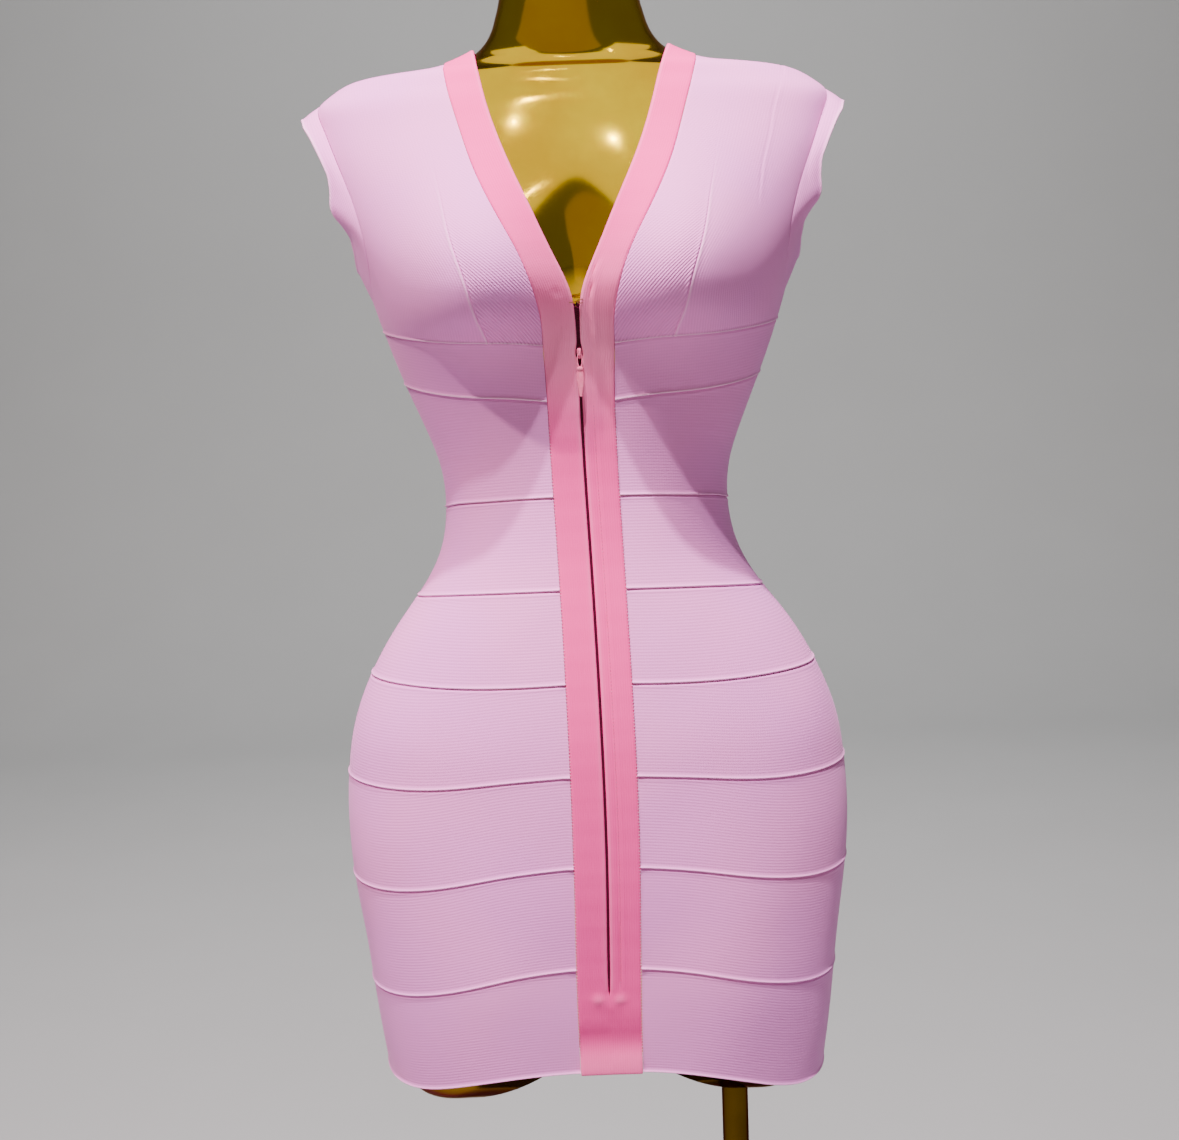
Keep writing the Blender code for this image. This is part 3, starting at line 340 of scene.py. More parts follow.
@dataclass
class Skin:
    """The reference skin: superellipse rings splined along the side outline.

    A ring of half width w and depth d has radius (|sin a / w|^n + |cos a / d|^n)^(-1/n) at the
    angle a from the centre front, and its heights, widths, depths and powers are splines of the
    station, the running length of the side outline.
    """

    gap: float = 0.3 * MM
    cup: Swelling = Swelling(0.074, 1.292, 0.040, 0.060, 0.072, 0.046)
    seat: Swelling = Swelling(0.080, 0.900, 0.016, 0.070, 0.085, 0.085)
    thigh: Swelling = Swelling(0.090, 0.760, 0.006, 0.050, 0.090, 0.200)
    shoulder_from: float = 1.4265

    def __post_init__(self) -> None:
        """Splines the ring table and keeps a fine copy of it for looking stations up."""
        rows = np.array(SECTIONS)
        stations = running_length(rows[:, :2])
        self.section = Spline(stations, rows)
        self.fine = np.linspace(0, stations[-1], 4001)
        self.fine_rows = self.section(self.fine)

    def station(self, height: Array) -> Array:
        """The station of the ring at a height."""
        return np.interp(height, self.fine_rows[:, 0], self.fine)

    def shoulder_station(self, x: Array) -> Array:
        """The station where the shoulder's ridge passes x metres from the centre."""
        ridge = self.fine_rows[:, 0] > self.shoulder_from
        return np.interp(-np.abs(x), -self.fine_rows[ridge, 1], self.fine[ridge])

    def point(self, angle: Array, at: Array) -> Array:
        """Points of the skin at angles and stations.

        Args:
            angle: angles from the centre front.
            at: stations.

        Returns:
            The points.
        """
        angle, at = np.broadcast_arrays(angle, at)
        height, half, front, back, power_front, power_back = np.moveaxis(self.section(at), -1, 0)
        forward = np.cos(angle)
        in_front = forward >= 0
        depth = np.where(in_front, front, back)
        power = np.where(in_front, power_front, power_back)
        sideways = np.abs(np.sin(angle) / half) ** power
        radius = (sideways + np.abs(forward / depth) ** power) ** (-1 / power)
        x = radius * np.sin(angle)
        facing = np.clip(3 * np.abs(forward), 0, 1)
        chest = self.cup.lift(x, height) + self.thigh.lift(x, height)
        push = facing * np.where(in_front, -chest, self.seat.lift(x, height))
        return np.stack([x, push - radius * forward, height], -1)

    def normal(self, angle: Array, at: Array) -> Array:
        """The outward unit normal, from small steps round and up.

        Args:
            angle: angles from the centre front.
            at: stations.

        Returns:
            The unit normals.
        """
        step = 1e-4
        round_way = self.point(angle + step, at) - self.point(angle - step, at)
        up_way = self.point(angle, at + step) - self.point(angle, at - step)
        return unit(np.cross(round_way, up_way))

    def lifted(self, angle: Array, at: Array, lift: Array | float) -> Array:
        """Points lifted off the skin along its normal."""
        angle, at = np.broadcast_arrays(angle, at)
        rise = np.broadcast_to(lift, angle.shape)[..., None]
        return self.point(angle, at) + self.normal(angle, at) * rise

    def angle_at(self, x: Array, at: Array, front: bool = True) -> Array:
        """The angle at which a station's ring passes x, in front or behind.

        Args:
            x: distances from the centre, more than 0 on the wearer's left.
            at: stations.
            front: False for behind.

        Returns:
            The angles.
        """
        rows = self.section(at)
        power = rows[..., 4 if front else 5]
        share = np.clip(np.abs(x) / rows[..., 1], 0, 1)
        depth = rows[..., 2 if front else 3] * (1 - share**power) ** (1 / power)
        angle = np.arctan2(np.abs(x), depth)
        return np.where(np.asarray(x) < 0, -1, 1) * (angle if front else math.pi - angle)

    def side_angle(self, at: Array, sign: int) -> Array:
        """The side seam's angle, half a gap in front of (-1) or behind (+1) the side."""
        return math.pi / 2 + sign * self.gap / 2 / self.section(at)[..., 1]


@dataclass(frozen=True)
class Seams:
    """The seams between the bands and the zip's line down the front."""

    slider_height: float = 1.2385
    slider_spread: float = 1.3 * MM
    slider_reach: float = 6.0 * MM

    def height(self, name: str, angle: Array) -> Array:
        """A seam's height at an angle, the same on both sides of the body but for the hem's lean.

        Args:
            name: the seam.
            angle: angles from the centre front.

        Returns:
            The heights.
        """
        heights = SEAMS[name]
        spline = Spline((*SEAM_ANGLES, 230, 270), (*heights, heights[-2], heights[-3]))
        folded = np.abs((angle + math.pi) % (2 * math.pi) - math.pi)
        level = spline(np.maximum(np.degrees(folded), SEAM_ANGLES[0]))[..., 0]
        return level - (HEM_LEAN * np.sin(angle) ** 3 if name == "hem" else 0)

    def zip_centre(self, height: Array) -> Array:
        """How far the zip's centre line lies from the centre front at a height."""
        return table_run(ZIP_BOW, height)

    def trim_edges(self, height: Array) -> tuple[Array, Array]:
        """The trim's inner and outer distance from the zip's centre line below the bust."""
        inner, outer = (np.interp(height, *np.array(ZIP_TRIM)[::-1, [0, k]].T) for k in (1, 2))
        return inner + self.slider_gap(height), outer

    def slider_gap(self, height: Array) -> Array:
        """How far the slider holds the trim's inner edge off the zip's line."""
        return self.slider_spread * bell(height - self.slider_height, self.slider_reach)


# ------ finishes
def linear(colour: str) -> Colour:
    """An sRGB hex colour as linear RGBA."""
    parts = np.array([int(colour[i : i + 2], 16) for i in (1, 3, 5)]) / 255
    parts = np.where(parts > 0.04045, ((parts + 0.055) / 1.055) ** 2.4, parts / 12.92)
    return (*parts.tolist(), 1.0)


def add_node(
    tree: bpy.types.NodeTree,
    kind: str,
    settings: dict[str, object] | None = None,
    inputs: dict[str | int, object] | None = None,
) -> bpy.types.Node:
    """Adds a node, sets its properties, and sets or links its inputs.

    Args:
        tree: the material's node tree.
        kind: the node's type without the "ShaderNode" in front.
        settings: properties of the node and their values.
        inputs: input names or indices, each with a value or the output socket to link.

    Returns:
        The new node.
    """
    node = tree.nodes.new("ShaderNode" + kind)
    for name, value in (settings or {}).items():
        setattr(node, name, value)
    for name, value in (inputs or {}).items():
        if isinstance(value, bpy.types.NodeSocket):
            tree.links.new(value, node.inputs[name])
        else:
            node.inputs[name].default_value = value
    return node


class Recipe:
    """A node material in the making: a Principled shader and the kinds of node that feed it."""

    def __init__(self, name: str, plain: dict[str, object]) -> None:
        """Makes the material.

        Args:
            name: its name.
            plain: sockets of its shader and their plain values.
        """
        self.material = bpy.data.materials.new(name)
        self.material.use_nodes = True
        self.tree = self.material.node_tree
        self.shader = self.tree.nodes["Principled BSDF"]
        for socket, value in plain.items():
            self.shader.inputs[socket].default_value = value

    def place(self) -> Socket:
        """The object's own coordinates."""
        return add_node(self.tree, "TexCoord").outputs["Object"]

    def parts(self, vector: Socket) -> list[Socket]:
        """A vector's three parts."""
        return add_node(self.tree, "SeparateXYZ", None, {0: vector}).outputs[:]

    def weave(self) -> list[Socket]:
        """Metres along the courses and across the ribs, from the cloth's UV map."""
        return self.parts(add_node(self.tree, "UVMap", {"uv_map": UV_MAP}).outputs["UV"])[:2]

    def attribute(self, name: str) -> Socket:
        """A value that the panel keeps at each of its points."""
        return add_node(self.tree, "Attribute", {"attribute_name": name}).outputs["Fac"]

    def noise(self, scale: float, detail: float) -> Socket:
        """Soft noise on the object's own coordinates."""
        inputs = {"Vector": self.place(), "Scale": scale, "Detail": detail}
        return add_node(self.tree, "TexNoise", None, inputs).outputs["Fac"]

    def math(self, operation: str, *values: Socket | float) -> Socket:
        """An operation on numbers."""
        return add_node(self.tree, "Math", {"operation": operation}, dict(enumerate(values))).outputs[0]

    def wave(self, distance: Socket, pitch: float) -> Socket:
        """A sine wave of this pitch along a distance."""
        return self.math("SINE", self.math("MULTIPLY", distance, 2 * math.pi / pitch))

    def spread(
        self, value: Socket, start: float = 0, end: float = 1, low: float = 0, high: float = 1
    ) -> Socket:
        """A value carried from start to end over to low to high, and held at both."""
        inputs = {"Value": value, "From Min": start, "From Max": end, "To Min": low, "To Max": high}
        return add_node(self.tree, "MapRange", None, inputs).outputs[0]

    def mix(self, share: Socket, first: Colour | Socket, second: Colour | Socket) -> Socket:
        """One colour that gives way to another as the share rises."""
        inputs = {0: share, 6: first, 7: second}
        return add_node(self.tree, "Mix", {"data_type": "RGBA"}, inputs).outputs[2]

    def shaded(self, colour: Colour | Socket, shade: Socket) -> Socket:
        """A colour multiplied by a shade."""
        inputs = {0: 1.0, 6: colour, 7: shade}
        settings = {"data_type": "RGBA", "blend_type": "MULTIPLY"}
        return add_node(self.tree, "Mix", settings, inputs).outputs[2]

    def bump(self, height: Socket, distance: float, strength: float = 1.0) -> Socket:
        """A normal bent by fine relief."""
        inputs = {"Strength": strength, "Distance": distance, "Height": height}
        return add_node(self.tree, "Bump", None, inputs).outputs[0]

    def finished(self, links: dict[str, Socket]) -> Material:
        """Links what was mixed to the shader's sockets, and gives the material."""
        for name, socket in links.items():
            self.tree.links.new(socket, self.shader.inputs[name])
        return self.material


@dataclass(frozen=True)
class KnitFinish:
    """Ribbed rayon and nylon bandage knit: soft, matt, with fine raised ribs and a faint bloom.

    The ribs run across the second UV axis, both axes being metres on the cloth. The attribute
    "ribbing" says how deep they are, and "ridge" how far the colour is mixed towards pale:
    mostly a painted highlight on seams, darts, edges and puckers, partly knit stretched pale.
    """

    name: str
    colour: str
    tint: str
    # the colour of the painted highlights on seams, edges and puckers, partly stretched-pale knit; also
    # the sheen's tint
    pale: str
    rib_pitch: float = 2.2 * MM  # real ribs are about 1.2 mm apart, too fine to show
    rib_depth: float = 0.16 * MM
    # how much darker the rib valleys are coloured: painted shade
    valley: float = 0.16
    wale_pitch: float = 1.9 * MM
    wale_share: float = 0.10
    fuzz: Pair = (1100.0, 2.0)
    fuzz_share: float = 0.5
    cloud: Pair = (8.0, 2.0)
    roughness: float = 0.62
    sheen: float = 0.15

    def build(self) -> Material:
        """Makes the material."""
        recipe = Recipe(self.name, {
            "Roughness": self.roughness,
            "Specular IOR Level": 0.2,
            "Sheen Weight": self.sheen,
            "Sheen Roughness": 0.45,
            "Sheen Tint": linear(self.pale),
        })
        along, across = recipe.weave()
        ribs = recipe.math("MULTIPLY", recipe.wave(across, self.rib_pitch), recipe.attribute("ribbing"))
        wales = recipe.math("MULTIPLY", recipe.wave(along, self.wale_pitch), self.wale_share)
        loops = recipe.math("ADD", ribs, wales)
        relief = recipe.math("MULTIPLY_ADD", recipe.noise(*self.fuzz), self.fuzz_share, loops)
        cloudy = recipe.spread(recipe.noise(*self.cloud), 0.38, 0.62)
        base = recipe.mix(cloudy, linear(self.colour), linear(self.tint))
        # Painted shade: the colour darkens in the rib valleys
        ribbed = recipe.shaded(base, recipe.spread(ribs, -1.0, 0.2, 1 - self.valley))
        return recipe.finished({
            # Painted highlight: the colour is mixed towards the pale colour where the attribute "ridge"
            # is high
            "Base Color": recipe.mix(recipe.attribute("ridge"), ribbed, linear(self.pale)),
            "Normal": recipe.bump(relief, self.rib_depth),
        })


@dataclass(frozen=True)
class TapeFinish:
    """Woven polyester zip tape: a tight dark herringbone, dull, with hardly any sheen."""

    name: str = "woven_polyester_tape"
    colour: str = "#5a1230"
    thread: str = "#3b0a1e"
    twill_pitch: float = 1.2 * MM  # real twill is 0.4 mm, drawn coarser so that it shows
    twill_depth: float = 0.1 * MM

    def build(self) -> Material:
        """Makes the material."""
        recipe = Recipe(self.name, {"Roughness": 0.8, "Specular IOR Level": 0.25})
        along, across = recipe.weave()
        slant = recipe.math("PINGPONG", across, 4 * self.twill_pitch)
        twill = recipe.wave(recipe.math("ADD", along, slant), self.twill_pitch)
        share = recipe.spread(twill, -1.0)
        return recipe.finished({
            "Base Color": recipe.mix(share, linear(self.thread), linear(self.colour)),
            "Normal": recipe.bump(share, self.twill_depth),
        })


@dataclass(frozen=True)
class ThreadFinish:
    """Twisted polyester sewing thread: a soft lustre, the twist shown by painted shade in its hollows.
    """

    name: str
    colour: str
    twist: float = 0.9 * MM
    # brightness of the painted shade in the twist's hollows
    hollow: float = 0.82

    def build(self) -> Material:
        """Makes the material."""
        recipe = Recipe(self.name, {"Roughness": 0.5, "Sheen Weight": 0.3})
        inputs = {"Vector": recipe.place(), "Scale": 0.3 / self.twist}
        strands = add_node(recipe.tree, "TexWave", {"bands_direction": "DIAGONAL"}, inputs)
        shade = recipe.spread(strands.outputs["Fac"], low=self.hollow)
        return recipe.finished({"Base Color": recipe.shaded(linear(self.colour), shade)})


@dataclass(frozen=True)
class LacquerFinish:
    """Zinc die casting under stoved pink lacquer: smooth, with a soft gloss and thin edges."""

    name: str = "stoved_pink_lacquer"
    colour: str = "#e0638e"
    worn: str = "#ea80a2"
    patches: Pair = (420.0, 4.0)
    roughness: Pair = (0.38, 0.52)
    dimple: float = 0.05 * MM

    def build(self) -> Material:
        """Makes the material."""
        recipe = Recipe(self.name, {"Coat Weight": 0.08, "Coat Roughness": 0.15})
        patch = recipe.noise(*self.patches)
        worn = recipe.spread(patch, 0.45, 0.7)
        return recipe.finished({
            "Base Color": recipe.mix(worn, linear(self.colour), linear(self.worn)),
            "Roughness": recipe.spread(patch, 0, 1, *self.roughness),
            "Normal": recipe.bump(patch, self.dimple, 0.3),
        })


@dataclass(frozen=True)
class GoldFinish:
    """Vacuum-plated gold under clear lacquer: a mirror that is slightly soft and uneven.

    Spraying leaves a faint orange peel a centimetre across, and handling leaves dull patches.
    Low down the colour is darkened and the lacquer coat weakened: painted shade under the thigh stubs.
    """

    name: str
    colour: str
    shade: str
    roughness: Pair = (0.09, 0.14)
    peel: float = 0.10 * MM
    peel_noise: Pair = (45.0, 1.0)
    haze_noise: Pair = (14.0, 5.0)
    lacquer: float = 0.20
    # Painted shade under the thigh stubs: the height where it starts, how far down it deepens, and how
    # dark it gets
    shade_below: float = -1.0
    shade_run: float = 0.040
    underside_shade: float = 0.32
    edge: str = "#8c6c10"

    def build(self) -> Material:
        """Makes the material."""
        recipe = Recipe(self.name, {
            "Metallic": 1.0,
            "Coat Roughness": 0.03,
            "Specular Tint": linear(self.edge),
        })
        haze = recipe.noise(*self.haze_noise)
        even = recipe.mix(recipe.spread(haze, 0.35, 0.65), linear(self.colour), linear(self.shade))
        height = recipe.parts(recipe.place())[2]
        # Painted shade: low on the form the colour darkens and the lacquer coat fades with it
        underside_shade = recipe.spread(height, self.shade_below - self.shade_run, self.shade_below, self.underside_shade)
        return recipe.finished({
            "Base Color": recipe.shaded(even, underside_shade),
            "Roughness": recipe.spread(haze, 0.3, 0.7, *self.roughness),
            "Coat Weight": recipe.math("MULTIPLY", underside_shade, self.lacquer),
            "Normal": recipe.bump(recipe.noise(*self.peel_noise), self.peel, 0.35),
        })


@dataclass(frozen=True)
class FloorFinish:
    """Matt painted screed: pale, even, with a hardly visible mottle."""

    name: str = "matt_pale_screed"
    colour: str = "#a9afae"
    mottle: Pair = (3.0, 3.0)

    def build(self) -> Material:
        """Makes the material."""
        recipe = Recipe(self.name, {"Roughness": 0.85, "Specular IOR Level": 0.2})
        shade = recipe.spread(recipe.noise(*self.mottle), 0, 1, 0.97, 1.03)
        return recipe.finished({"Base Color": recipe.shaded(linear(self.colour), shade)})


class Wardrobe:
    """Every finish, made once."""

    def __init__(self) -> None:
        """Makes the materials."""
        # The third colour of each knit is the pale of its painted highlights
        self.knit = KnitFinish("rayon_bandage_knit", "#ea8fd4", "#e58cd7", "#fccbed").build()
        self.trim = KnitFinish("close_rib_trim_knit", "#f04197", "#eb3e96", "#ffa0c8",
                               rib_pitch=1.7 * MM, rib_depth=0.08 * MM, valley=0.06,
                               sheen=0.12).build()
        self.tape = TapeFinish().build()
        self.thread = ThreadFinish("pink_polyester_thread", "#eeb3d0").build()
        self.dark_thread = ThreadFinish("rose_polyester_thread", "#b8648f").build()
        self.lacquer = LacquerFinish().build()
        # The form's gold is painted darker below 0.735 m: painted shade under the thigh stubs
        self.gold = GoldFinish("gold_plated_lacquered_fibreglass", "#f2c90e", "#e4b206",
                               shade_below=0.735).build()
        self.wire = GoldFinish("brass_plated_wire", "#d8b36a", "#b8924a",
                               roughness=(0.22, 0.35)).build()
        self.gold_steel = GoldFinish("gold_plated_steel", "#5c450c", "#483407",
                                     roughness=(0.16, 0.28), lacquer=0.0).build()
        self.floor = FloorFinish().build()


# ------ meshes
def grid_quads(rows: int, columns: int, ring: bool = False, start: int = 0) -> Faces:
    """Quads between neighbouring points of a grid whose points are numbered row by row.

    Args:
        rows: rows of the grid.
        columns: its columns.
        ring: True if the columns close on themselves.
        start: number of the first point.

    Returns:
        The quads, four corners each.
    """
    across = columns if ring else columns - 1
    i, j = np.meshgrid(np.arange(rows - 1), np.arange(across), indexing="ij")
    k = (j + 1) % columns
    corners = [i * columns + j, i * columns + k, (i + 1) * columns + k, (i + 1) * columns + j]
    return start + np.stack(corners, -1).reshape(-1, 4)


def link(thing: Piece) -> Piece:
    """Puts an object into the scene."""
    bpy.context.scene.collection.objects.link(thing)
    return thing


def make_object(name: str, points: Array, faces: Sequence[Faces], material: Material) -> Piece:
    """A smooth-shaded object at the origin, sharp where it folds by more than 50 degrees.

    Args:
        name: the piece's name.
        points: its corners.
        faces: arrays of faces, each array holding faces of one size.
        material: its finish.

    Returns:
        The object, linked to the scene.
    """
    mesh = bpy.data.meshes.new(name)
    mesh.from_pydata(points.reshape(-1, 3).tolist(), [], [f for part in faces for f in part.tolist()])
    mesh.shade_smooth()
    mesh.set_sharp_from_angle(angle=SHARP_FOLD)
    mesh.materials.append(material)
    return link(bpy.data.objects.new(name, mesh))


def turn_out(mesh: bpy.types.Mesh, merged: float | None = None) -> None:
    """Turns every face outwards, after merging points closer than the merged distance if given.

    Args:
        mesh: the mesh, changed in place.
        merged: the distance, or None to merge nothing.
    """
    bm = bmesh.new()
    bm.from_mesh(mesh)
    if merged:
        bmesh.ops.remove_doubles(bm, verts=bm.verts, dist=merged)
        bmesh.ops.dissolve_degenerate(bm, edges=bm.edges, dist=merged)
    bmesh.ops.recalc_face_normals(bm, faces=bm.faces)
    bm.to_mesh(mesh)
    bm.free()


def attach(thing: Piece, slot: Slot, *nodes: str, body: str = BODY) -> Piece:
    """Lets a piece ride on a body and stand for its CAD nodes, which are hidden.

    Args:
        thing: the piece.
        slot: the slot; not used.
        nodes: the CAD nodes.
        body: the body.

    Returns:
        The piece.
    """
    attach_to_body(thing, body)
    if nodes:
        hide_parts(*nodes)
    LOG.info("%s: %d faces", thing.name, len(thing.data.polygons))
    return thing


@dataclass
class Panel:
    """A cloth piece as two grids of points, rows by columns, with what its finish reads there.

    Attributes:
        node: the CAD node that it stands for.
        outer: the face's points.
        inner: the back's points.
        weave: metres along the courses and across the ribs.
        ribbing: depth of the ribs, 0 to 1.
        ridge: how far the colour is painted pale, 0 to 1: mostly painted highlight, partly stretched
            knit.
        ring: True if the columns close on themselves.
        stretch: how much wider the cloth is worn than cut.
    """

    node: str
    outer: Array
    inner: Array
    weave: Array
    ribbing: Array | float
    ridge: Array | float
    ring: bool = False
    stretch: float = 1.10

    def faces(self) -> list[Faces]:
        """Quads of the face, the back and the edges between them, all turned out."""
        rows, columns = self.outer.shape[:2]
        count = rows * columns
        face = grid_quads(rows, columns, self.ring)
        row, column = rows // 2, columns // 2
        along = self.outer[row, column + 1] - self.outer[row, column]
        up = self.outer[row + 1, column] - self.outer[row, column]
        out = self.outer[row, column] - self.inner[row, column]
        if np.dot(np.cross(along, up), out) < 0:
            face = face[:, ::-1]
        number = np.arange(count).reshape(rows, columns)
        if self.ring:
            loops = [np.append(number[0], number[0, 0]), np.append(number[-1], number[-1, 0])]
        else:
            loops = [np.concatenate([
                number[0], number[1:, -1], number[-1, -2::-1], number[-2::-1, 0]])]
        rims = [np.stack([a[:-1], a[1:], a[1:] + count, a[:-1] + count], -1) for a in loops]
        return [face, face[:, ::-1] + count, *rims]

    def flat_size(self) -> Place:
        """The face's greatest width, greatest length and area."""
        closed = np.concatenate([self.outer, self.outer[:, :1]], 1) if self.ring else self.outer
        along, up = lengths(closed)
        cross = np.cross(closed[1:, 1:] - closed[:-1, :-1], closed[1:, :-1] - closed[:-1, 1:])
        area = float(np.linalg.norm(cross, axis=-1).sum() / 2)
        return along[:, -1].max(), up[-1].max(), area


@dataclass
class Tailor:
    skin: Skin

    def sew(self, panel: Panel, slot: Slot, material: Material) -> Piece:
        """Makes a panel's object.

        Args:
            panel: the panel.
            slot: the material slot, handed on to attach, which does not use it.
            material: its finish.

        Returns:
            The object.
        """
        points = np.concatenate([panel.outer.reshape(-1, 3), panel.inner.reshape(-1, 3)])
        thing = make_object(panel.node + "_cloth", points, panel.faces(), material)
        mesh = thing.data
        shape = panel.outer.shape[:2]
        corner = np.empty(len(mesh.loops), np.int32)
        mesh.loops.foreach_get("vertex_index", corner)
        weave = np.broadcast_to(panel.weave, (*shape, 2)).reshape(-1, 2)
        layer = mesh.uv_layers.new(name=UV_MAP)
        layer.data.foreach_set("uv", np.tile(weave, (2, 1))[corner].astype(np.float32).ravel())
        for name, values in (("ribbing", panel.ribbing), ("ridge", panel.ridge)):
            flat = np.broadcast_to(values, shape).ravel()
            attribute = mesh.attributes.new(name, "FLOAT", "POINT")
            attribute.data.foreach_set("value", np.tile(flat, 2).astype(np.float32))
        turn_out(mesh)
        mesh.set_sharp_from_angle(angle=SHARP_FOLD)
        attach(thing, slot, panel.node)
        width, length, area = panel.flat_size()
        width /= panel.stretch
        LOG.info("%s: cut %.3f x %.3f m", thing.name, width, length)
        return thing

    def on_skin(
        self,
        node: str,
        angle: Array,
        at: Array,
        lifts: tuple[Array | float, Array | float],
        weave: tuple[Array, Array],
        ribbing: Array | float,
        ridge: Array | float,
    ) -> Panel:
        """A panel whose grids are lifted off the skin.

        Args:
            node: the CAD node.
            angle: the grid's angles.
            at: its stations.
            lifts: heights of the face and the back over the skin.
            weave: metres along the courses and across the ribs.
            ribbing: depth of the ribs.
            ridge: where the colour is painted pale: mostly painted highlight, partly stretched knit.

        Returns:
            The panel.
        """
        angle, at = np.broadcast_arrays(angle, at)
        face, back = (self.skin.lifted(angle, at, lift) for lift in lifts)
        grids = np.stack(np.broadcast_arrays(*weave, angle)[:2], -1)
        return Panel(node, face, back, grids, ribbing, ridge)


@dataclass
class Maker:
    """What every maker of pieces works with."""

    tailor: Tailor
    seams: Seams
    wardrobe: Wardrobe

    @property
    def skin(self) -> Skin:
        """The skin that the pieces lie on."""
        return self.tailor.skin


def slack(angle: Array, at: Array) -> Array:
    """Faint unevenness of worn cloth: crossed long waves, a tenth of a millimetre high."""
    slow = np.sin(5.1 * angle + 31 * at) * np.sin(47 * at + 1.7)
    return 0.10 * MM * (slow + 0.6 * np.sin(11 * angle - 73 * at))


@dataclass(frozen=True)
class SeamRelief:
    """The raised linked seam along a piece's lower edge, and the dip and lip under the next one."""

    seam: Ridges = (Ridge(0.90 * MM, 1.00, 0.80), Ridge(-0.45 * MM, 0.35))
    dip: Ridges = (Ridge(-0.50 * MM, 0.90), Ridge(0.22 * MM, 0.80, 1.90))
    # How pale the seam's ridge is painted: painted highlight, faint or strong where the bust's shadow
    # falls
    faint: Ridge = Ridge(0.3, 0.80, 0.56)
    strong: Ridge = Ridge(0.8, 0.80, 0.56)
    dense: Row = (0, 0.0003, 0.0006, 0.0009, 0.0013, 0.0018, 0.0024, 0.0032, 0.0045)

    def lift(self, from_foot: Array, from_top: Array) -> Array:
        """The face's relief: a ridge near the foot, and a dip with a lip near the top edge."""
        return relief(self.seam, from_foot) + relief(self.dip, from_top)

    def pale(self, from_foot: Array, at_bust: bool) -> Array:
        """How pale the seam's ridge is painted, mostly painted highlight, partly stretched knit:
        strongly under the bust, where its shadow falls, faintly elsewhere.
        """
        return (self.strong if at_bust else self.faint).over(from_foot)


# ------ bands below the bust
@dataclass
class Bands(Maker):
    """The eight bands below the bust, each in a left front, a right front and a back piece."""

    wall: float = 1.6 * MM
    row_step: float = 4.0 * MM
    front_columns: int = 66
    back_columns: int = 120
    ribbing: float = 0.2
    at_trim: Ridge = Ridge(0.5, 3.5)
    relief: SeamRelief = SeamRelief()

    def front_angles(self, height: Array, side: int) -> Array:
        """Columns of a front piece, from the trim's edge to the side seam.

        Args:
            height: the rows' heights at the trim.
            side: 1 for the left, -1 for the right.

        Returns:
            Angles, rows by columns.
        """
        skin = self.skin
        at = skin.station(height)
        edge = side * (self.seams.trim_edges(height)[1] + skin.gap) + self.seams.zip_centre(height)
        inner = skin.angle_at(edge, at)[:, None]
        outer = side * skin.side_angle(at, -1)[:, None]
        return inner + (outer - inner) * np.linspace(0, 1, self.front_columns)

    def back_angles(self, height: Array) -> Array:
        """Columns of a back piece, from side seam to side seam."""
        start = self.skin.side_angle(self.skin.station(height), 1)[:, None]
        return start + 2 * (math.pi - start) * np.linspace(0, 1, self.back_columns)

    def piece(self, node: str, upper: str, lower: str, side: int) -> Panel:
        """One piece of a band.

        Args:
            node: the CAD node.
            upper: the seam above.
            lower: the seam below.
            side: 1 for the left front, -1 for the right front, 0 for the back.

        Returns:
            The panel.
        """
        skin = self.skin
        corner = math.radians(SEAM_ANGLES[0])
        top, foot = (float(self.seams.height(name, corner)) for name in (upper, lower))
        rows = edge_rows(top - foot, self.row_step, self.relief.dense) / (top - foot)
        height = foot + rows * (top - foot)
        angle = self.front_angles(height, side) if side else self.back_angles(height)
        high = self.seams.height(upper, angle) - skin.gap / 2
        low = self.seams.height(lower, angle) + skin.gap / 2
        at = skin.station(low + rows[:, None] * (high - low))
        along, _ = lengths(skin.point(angle, at))
        tall = high - low
        from_foot, from_top = rows[:, None] * tall, (1 - rows[:, None]) * tall
        rise = self.relief.lift(from_foot, from_top) + slack(angle, at)
        if side:
            rise = rise * (1 + self.at_trim.over(along))
        # Painted highlight on the seam's ridge, strong at the rib seam in the bust's shadow
        pale = self.relief.pale(from_foot, lower == "rib")
        return self.tailor.on_skin(
            node, angle, at, (rise, -self.wall), (along, from_foot), self.ribbing, pale)

    def build(self) -> None:
        """Builds every piece."""
        for name, (upper, lower) in zip(BANDS, pairwise(SEAMS)):
            for word, side in (*SIDES, ("back", 0)):
                panel = self.piece(f"{name}_band_{word}", upper, lower, side)
                self.tailor.sew(panel, Slot.KNIT, self.wardrobe.knit)


# ------ bodice
def coons(left: Array, right: Array, foot: Array, top: Array, up: Array, across: Array) -> Array:
    """Fills four edge curves with a grid: ruled both ways, less the blend of the corners.

    Args:
        left: curve at share 0 across, and right: at share 1.
        foot: curve at share 0 up, and top: at share 1.
        up: shares up the side curves, and across: along the others.

    Returns:
        The grid.
    """
    up, across = up[:, None, None], across[None, :, None]
    sides = (1 - across) * left[:, None] + across * right[:, None]
    ends = (1 - up) * foot[None] + up * top[None]
    low = (1 - across) * foot[0] + across * foot[-1]
    high = (1 - across) * top[0] + across * top[-1]
    return sides + ends - (1 - up) * low - up * high


